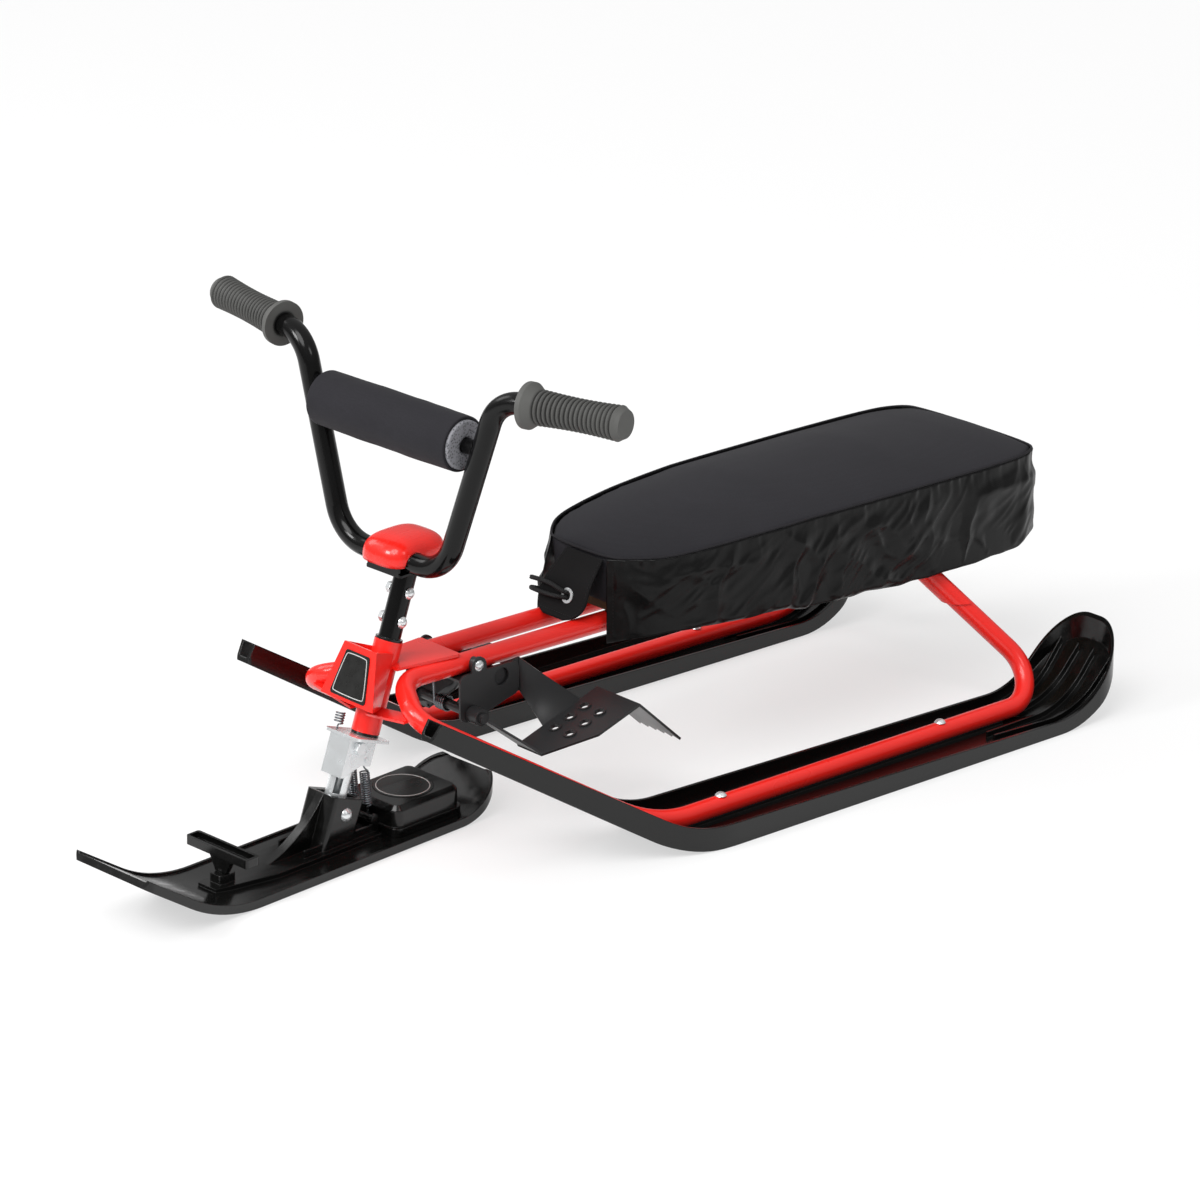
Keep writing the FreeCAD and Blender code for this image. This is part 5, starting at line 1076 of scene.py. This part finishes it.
    def tongue_grid(self, rows: int, columns: int) -> tuple[np.ndarray, np.ndarray]:
        """Tongue surface: a smooth line down the front, with a half width that rounds off at its end.

        On the far side the width is less at the top, by a share that dies away downwards.

        Args:
            rows: Points down the tongue.
            columns: Points across it.
        Returns:
            The surface grid and its outward directions, in millimetres.
        """
        line = resampled(softened(np.array(self.tongue_line), 3, False), rows)
        lengths = run_lengths(line)
        late = np.clip(lengths - (lengths[-1] - self.tongue_corner), 0.0, self.tongue_corner - 0.5)
        half = self.tongue_half - self.tongue_corner + np.sqrt(self.tongue_corner ** 2 - late ** 2)
        slant = self.tongue_slant * (1.0 - lengths / lengths[-1]) ** 1.5
        across = np.linspace(0.0, 1.0, columns)
        x = half[:, None] - (2.0 * half - slant)[:, None] * across
        sag = 1.2 * np.sin(math.pi * np.linspace(0, 1, rows))[:, None] * (x / self.tongue_half) ** 2
        way = unit(np.gradient(line, axis=0))
        out = np.stack((np.zeros(rows), way[:, 1], -way[:, 0]), -1)
        flat = np.stack(np.broadcast_arrays(x, line[:, :1], line[:, 1:]), -1)
        return flat + out[:, None] * sag[..., None], np.broadcast_to(out[:, None], flat.shape)

    def tongue(self) -> None:
        """Hang the rounded front tongue, as thick as its bonded cloth."""
        grid, _ = self.tongue_grid(48, 40)
        piece = made_piece("seat_tongue", Patch(placed(grid)))
        self.thicken(piece, self.tongue_thickness, 1.0)
        fitted(piece, Body.FRAME, TONGUE_KNIT, "charcoal_cloth", "seat_flap")

    def tongue_stitches(self) -> None:
        """Sew a border of stitches a few millimetres inside the tongue's edge."""
        grid, out = self.tongue_grid(60, 61)
        raised = grid + out * (self.tongue_thickness + 0.15)
        # Down the near edge, along the end and up the far edge, a few rows and columns inside
        path = np.concatenate((raised[2:-6, 3], raised[-6, 4:-4], raised[-7:1:-1, -4]))
        patches = stitch_patches(placed(path), 3.4 * MM, self.thread_r * MM, np.array((0.1, -0.9, 0.3)))
        fitted(made_piece("tongue_stitches", *patches), Body.FRAME, THREAD, "charcoal_cloth")

    def build(self) -> None:
        """Make the whole seat."""
        self.cushion()
        self.piping()
        self.skirt()
        self.skirt_stitches()
        self.tongue()
        self.tongue_stitches()


@dataclass
class BarPad:
    """Foam pad in a cloth sleeve on the crossbar, pressed against the far riser, in millimetres."""

    near: float = 90.2
    far: float = -100.2
    middle_y: float = -215.4
    middle_z: float = 418.5
    foam_r: float = 24.0
    sleeve_r: float = 27.0
    bore_r: float = 7.9
    short: float = 3.0
    riser_r: float = 11.4
    riser_low: tuple[float, float, float] = (-69.0, -218.8, 284.05)
    riser_high: tuple[float, float, float] = (-129.5, -214.0, 473.8)

    def pressed(self, grid: np.ndarray) -> np.ndarray:
        """Press a sleeve clear of the leaning riser: x is never less than the riser's near side.

        Args:
            grid: Points in millimetres, steering straight ahead.
        Returns:
            The same points, moved along x where the riser is in the way.
        """
        low, high = np.array(self.riser_low), np.array(self.riser_high)
        share = (grid[..., 2] - low[2]) / (high[2] - low[2])
        off = grid[..., 1] - (low[1] + (high[1] - low[1]) * share)
        reach = np.sqrt(np.maximum(self.riser_r ** 2 - off ** 2, 0.0)) * 1.05
        limit = np.where(reach > 0, low[0] + (high[0] - low[0]) * share + reach, grid[..., 0])
        return np.concatenate((np.maximum(grid[..., :1], limit[..., None]), grid[..., 1:]), -1)

    def turned(self, profile: np.ndarray, sides: int, wrinkle: float) -> np.ndarray:
        """Profile of x and radius turned about the crossbar, with soft lengthwise wrinkles.

        Args:
            profile: Closed profile, one row of x and radius each.
            sides: Points round the bar.
            wrinkle: Depth of the wrinkles.
        Returns:
            Grid of points in metres, in place.
        """
        angle = np.linspace(0.0, math.tau, sides, endpoint=False)
        x = np.broadcast_to(profile[:, :1], (len(profile), sides))
        outer = (profile[:, 1:] > self.foam_r * 0.9).astype(float)
        crease = soft_noise(x / 34.0, angle[None] / math.tau * 8.0, 31) + 0.5 * soft_noise(
            x / 13.0, angle[None] / math.tau * 16.0, 37)
        radius = profile[:, 1:] + wrinkle * crease * outer
        y, z = self.middle_y + radius * np.cos(angle), self.middle_z + radius * np.sin(angle)
        return placed(steered(self.pressed(np.stack((x, y, z), -1))))

    def profile(self, short: float, outer: float, inner: float, bulge: float, corner: float) -> np.ndarray:
        """Closed section along the bar: rounded ends, and an outside that swells by a square law.

        Args:
            short: How far each end stays short of the pad's ends.
            outer: Outside radius.
            inner: Bore radius.
            bulge: Extra radius at the middle.
            corner: Radius of the rounded ends.
        Returns:
            Rows of x and radius.
        """
        low, high = self.far + short, self.near - short
        x = np.linspace(low + corner, high - corner, 70)
        share = (x - x.mean()) / (high - low) * 2
        top = np.stack((x, outer + bulge * (1 - share ** 2)), -1)
        turn = np.linspace(0.0, math.pi / 2, 7)[1:]
        round_low = outer - corner
        sine, cosine = corner * np.sin(turn), corner * np.cos(turn)
        near = np.stack((high - corner + sine, round_low + cosine), -1)
        far = np.stack((low + corner - cosine, round_low + sine), -1)[:-1]
        face = np.linspace(round_low, inner, 8)[1:-1]
        length = np.linspace(high, low, 12)
        bore = np.stack((length, np.full_like(length, inner)), -1)
        near_face = np.stack((np.full_like(face, high), face), -1)
        far_face = np.stack((np.full_like(face, low), face[::-1]), -1)
        return np.concatenate((top, near, near_face, bore, far_face, far))

    def build(self) -> None:
        """Make the foam and the sleeve round it."""
        foam = self.turned(self.profile(0.0, self.foam_r, self.bore_r, 0.0, 2.0), 72, 0.0)
        piece = made_piece("crossbar_foam", ring(foam))
        fitted(piece, Body.STEERING, FOAM, "grey_foam", "pad_foam")
        sleeve = self.turned(self.profile(self.short, self.sleeve_r, self.foam_r + 0.4, 0.8, 1.2), 96, 0.35)
        piece = made_piece("crossbar_sleeve", ring(sleeve))
        fitted(piece, Body.STEERING, KNIT, "charcoal_cloth", "pad_cover")


@dataclass
class BarCap:
    """Moulded cap over the bar clamp: a smooth dome with a hook down behind it, in millimetres."""

    half_x: float = 31.0
    half_y: float = 38.0
    middle_y: float = -205.0
    low: float = 281.5
    high: float = 306.5
    wall: float = 2.6
    roundness: float = 0.62
    dome_power: float = 3.0
    bar_y: float = -218.8
    bar_z: float = 283.8
    bar_gap_r: float = 11.3
    hook_half: float = 9.0
    hook_front: float = -169.6
    hook_rear: float = -167.0
    hook_low: float = 262.0

    def dome(self, inset: float) -> np.ndarray:
        """Dome on a plan with full corners, from near its middle out to its rim.

        Plan: half sizes times the cosine and sine of an angle, each to a power under one. Height: one
        minus a power of the share of the way out, to one over that power. It never dips below the round
        of the bar that passes through it.

        Args:
            inset: How far inside the outer dome.
        Returns:
            Grid of points, rows from the middle to the rim.
        """
        angle = np.linspace(0.0, math.tau, 120, endpoint=False)
        share = np.sin(np.linspace(0.03, math.pi / 2, 34))[:, None]
        cosine, sine = np.cos(angle), np.sin(angle)
        x = share * np.sign(cosine) * np.abs(cosine) ** self.roundness * (self.half_x - inset)
        y = self.middle_y + share * np.sign(sine) * np.abs(sine) ** self.roundness * (self.half_y - inset)
        rise = (1.0 - share ** self.dome_power) ** (1.0 / self.dome_power)
        z = np.broadcast_to(self.low + (self.high - inset - self.low) * rise, x.shape)
        over = self.bar_gap_r ** 2 - (y - self.bar_y) ** 2
        z = np.where(over > 0, np.maximum(z, self.bar_z + np.sqrt(np.maximum(over, 0.0))), z)
        return np.stack((x, y, z), -1)

    def build(self) -> None:
        """Make the cap as an outer and an inner dome joined at the rim, with its hook."""
        shell = np.concatenate((self.dome(0.0), self.dome(self.wall)[::-1]))
        corners = np.array(((-self.hook_half, self.hook_front), (self.hook_half, self.hook_front),
                            (self.hook_half, self.hook_rear), (-self.hook_half, self.hook_rear)))
        outline = softened(corners, 2, True)
        levels = np.linspace(self.hook_low, self.low + self.wall, 8)[:, None]
        hook = np.stack(np.broadcast_arrays(outline[:, 0], outline[:, 1], levels), -1)
        patches = [capped(placed(steered(grid))) for grid in (shell, hook)]
        fitted(made_piece("bar_cap_dome", *patches), Body.STEERING, RED_ABS, "red_plastic", "bar_cap")


@dataclass
class BadgeLines:
    """Pale lines printed round the bare badge plates, in millimetres."""

    head_face: float = -34.0
    head_low: tuple[float, float] = (24.2, 151.2)
    head_high: tuple[float, float] = (15.3, 191.4)
    winder_middle: tuple[float, float, float] = (0.0, -202.5, 40.5)
    winder_r: float = 26.4
    line: float = 0.5
    # Share of each side, at both its ends, that the rounded corners take up
    corner_share: float = 0.06

    def head_path(self) -> np.ndarray:
        """Return the line round the head badge: four sides with rounded corners, in metres."""
        (low_x, low_z), (high_x, high_z) = self.head_low, self.head_high
        corners = np.array(((-low_x, low_z), (low_x, low_z), (high_x, high_z), (-high_x, high_z)))
        after = np.roll(corners, -1, axis=0)
        step = (after - corners) * self.corner_share
        outline = softened(np.stack((corners + step, after - step), 1).reshape(-1, 2), 3, True)
        outline = resampled(np.concatenate((outline, outline[:1])), 121)[:-1]
        face = np.full(len(outline), self.head_face)
        return placed(raked(np.stack((outline[:, 0], face, outline[:, 1]), -1)))

    def winder_path(self) -> np.ndarray:
        """Return the line round the winder badge: a circle, in metres."""
        angle = np.linspace(0.0, math.tau, 120, endpoint=False)
        circle = np.stack((np.cos(angle), np.sin(angle), np.zeros_like(angle)), -1) * self.winder_r
        return placed(steered(np.array(self.winder_middle) + circle))

    def build(self) -> None:
        """Draw both lines as thin rounds half sunk in their plates."""
        lines = (("head_badge_line", self.head_path(), np.array((0.0, -0.94, 0.33)), Body.FRAME),
                 ("winder_badge_line", self.winder_path(), UP, Body.FRONT_SKI))
        for name, path, reference, body in lines:
            grid = tube_grid(path, self.line * MM, 8, reference, closed=True)
            fitted(made_piece(name, ring(grid)), body, PALE_LINE, "badge_plastic")


@dataclass(frozen=True)
class Lamp:
    """One lamp: kind, power, bearing in degrees, and size, a sun's angle or a softbox's side in metres."""

    name: str
    kind: str
    power: float
    azimuth: float
    elevation: float
    size: float


@dataclass
class Studio:
    """Pale floor, soft light and the camera at the photograph's angle; metres and degrees."""

    target: tuple[float, float, float] = (0.00175, 0.04396, 0.18067)
    azimuth: float = 49.0
    elevation: float = 19.76
    distance: float = 5.0749
    lens: float = 153.46
    sensor: float = 36.0
    floor_half: float = 14.0
    floor_z: float = -0.0004
    floor_colour: str = "#F4F4F4"
    floor_glow: float = 0.6
    # Strength of the sky near the horizon and overhead
    low_sky: float = 0.46 * 0.35
    high_sky: float = 0.46 * 1.4
    lamp_distance: float = 3.2
    lamps: tuple[Lamp, ...] = (
        Lamp("key", "SUN", 1.7, 18.0, 52.0, 36.0),
        Lamp("left_box", "AREA", 38.0, -15.0, 34.0, 0.8),
        Lamp("right_box", "AREA", 9.0, 88.0, 40.0, 0.8),
        Lamp("far_box", "AREA", 14.0, -66.0, 36.0, 1.2))

    def aimed(self, name: str, device: bpy.types.Camera | bpy.types.Light, azimuth: float, elevation: float,
              distance: float) -> bpy.types.Object:
        """Set a camera or a lamp at a bearing from the target, looking at it.

        Args:
            name: Name of its object.
            device: The camera or the light itself.
            azimuth: Where it stands, in degrees from the front.
            elevation: How high it stands, in degrees.
            distance: How far away it stands, in metres.
        Returns:
            The linked object.
        """
        around, up = math.radians(azimuth), math.radians(elevation)
        back = Vector((math.sin(around) * math.cos(up), -math.cos(around) * math.cos(up), math.sin(up)))
        holder = bpy.data.objects.new(name, device)
        holder.location = Vector(self.target) + back * distance
        holder.rotation_euler = (-back).to_track_quat("-Z", "Y").to_euler()
        bpy.context.scene.collection.objects.link(holder)
        return holder

    def camera(self) -> None:
        """Set the camera on its target and make it the scene's own."""
        lens = bpy.data.cameras.new("camera")
        lens.lens = self.lens
        lens.sensor_width = self.sensor
        lens.clip_end = 100.0
        bpy.context.scene.camera = self.aimed("camera", lens, self.azimuth, self.elevation, self.distance)

    def floor(self) -> None:
        """Lay a wide pale floor just under the skis; to the eye a share of it glows, so shadows are light."""
        ends = np.linspace(-self.floor_half, self.floor_half, 9)
        x, y = np.meshgrid(ends, ends)
        floor = made_piece("floor", Patch(np.stack((x, y, np.full_like(x, self.floor_z)), -1)))
        material = bpy.data.materials.new("Matt white paper")
        material.use_nodes = True
        tree = material.node_tree
        shader = tree.nodes["Principled BSDF"]
        shader.inputs["Base Color"].default_value = linear(self.floor_colour)
        shader.inputs["Roughness"].default_value = 1.0
        shader.inputs["Specular IOR Level"].default_value = 0.0
        ray = add_node(tree, "ShaderNodeLightPath")
        seen = ray.outputs["Is Camera Ray"]
        for kind in ("Is Glossy Ray", "Is Transmission Ray"):
            seen = add_node(tree, "ShaderNodeMath", None, {0: seen, 1: ray.outputs[kind]},
                            operation="MAXIMUM").outputs[0]
        share = add_node(tree, "ShaderNodeMath", {1: self.floor_glow}, {0: seen}, operation="MULTIPLY")
        glow = add_node(tree, "ShaderNodeEmission", {"Color": (1.0, 1.0, 1.0, 1.0), "Strength": 1.0})
        mixed = add_node(tree, "ShaderNodeMixShader", None,
                         {0: share.outputs[0], 1: shader.outputs["BSDF"], 2: glow.outputs["Emission"]})
        tree.links.new(mixed.outputs[0], tree.nodes["Material Output"].inputs["Surface"])
        floor.data.materials.append(material)

    def hang(self, lamp: Lamp) -> None:
        """Hang one lamp that looks at the target.

        Args:
            lamp: The lamp to hang.
        """
        light = bpy.data.lights.new(lamp.name, lamp.kind)
        light.energy = lamp.power
        if lamp.kind == "SUN":
            light.angle = math.radians(lamp.size)
        else:
            light.size = lamp.size
        self.aimed(lamp.name, light, lamp.azimuth, lamp.elevation, self.lamp_distance)

    def sky(self) -> None:
        """Light the scene from a sky that is brighter overhead than at the horizon."""
        world = bpy.data.worlds.new("Studio sky")
        world.use_nodes = True
        tree = world.node_tree
        place = add_node(tree, "ShaderNodeTexCoord")
        split = add_node(tree, "ShaderNodeSeparateXYZ", None, {"Vector": place.outputs["Generated"]})
        level = ranged(tree, split.outputs["Z"], (-0.2, 0.9), (self.low_sky, self.high_sky))
        tree.links.new(level, tree.nodes["Background"].inputs["Strength"])
        tree.nodes["Background"].inputs["Color"].default_value = (1.0, 1.0, 1.0, 1.0)
        bpy.context.scene.world = world

    def build(self) -> None:
        """Set the whole stage."""
        bpy.context.scene.view_settings.view_transform = "Standard"
        self.camera()
        self.floor()
        self.sky()
        for lamp in self.lamps:
            self.hang(lamp)


def main() -> None:
    """Build and dress every piece, then set the stage."""
    logging.basicConfig(level=logging.INFO, format="%(name)s: %(message)s")
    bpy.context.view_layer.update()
    Studio().build()
    Drawstring().build()
    dress_nodes()
    Seat().build()
    BarPad().build()
    BarCap().build()
    BadgeLines().build()


if __name__ == "__main__":
    main()
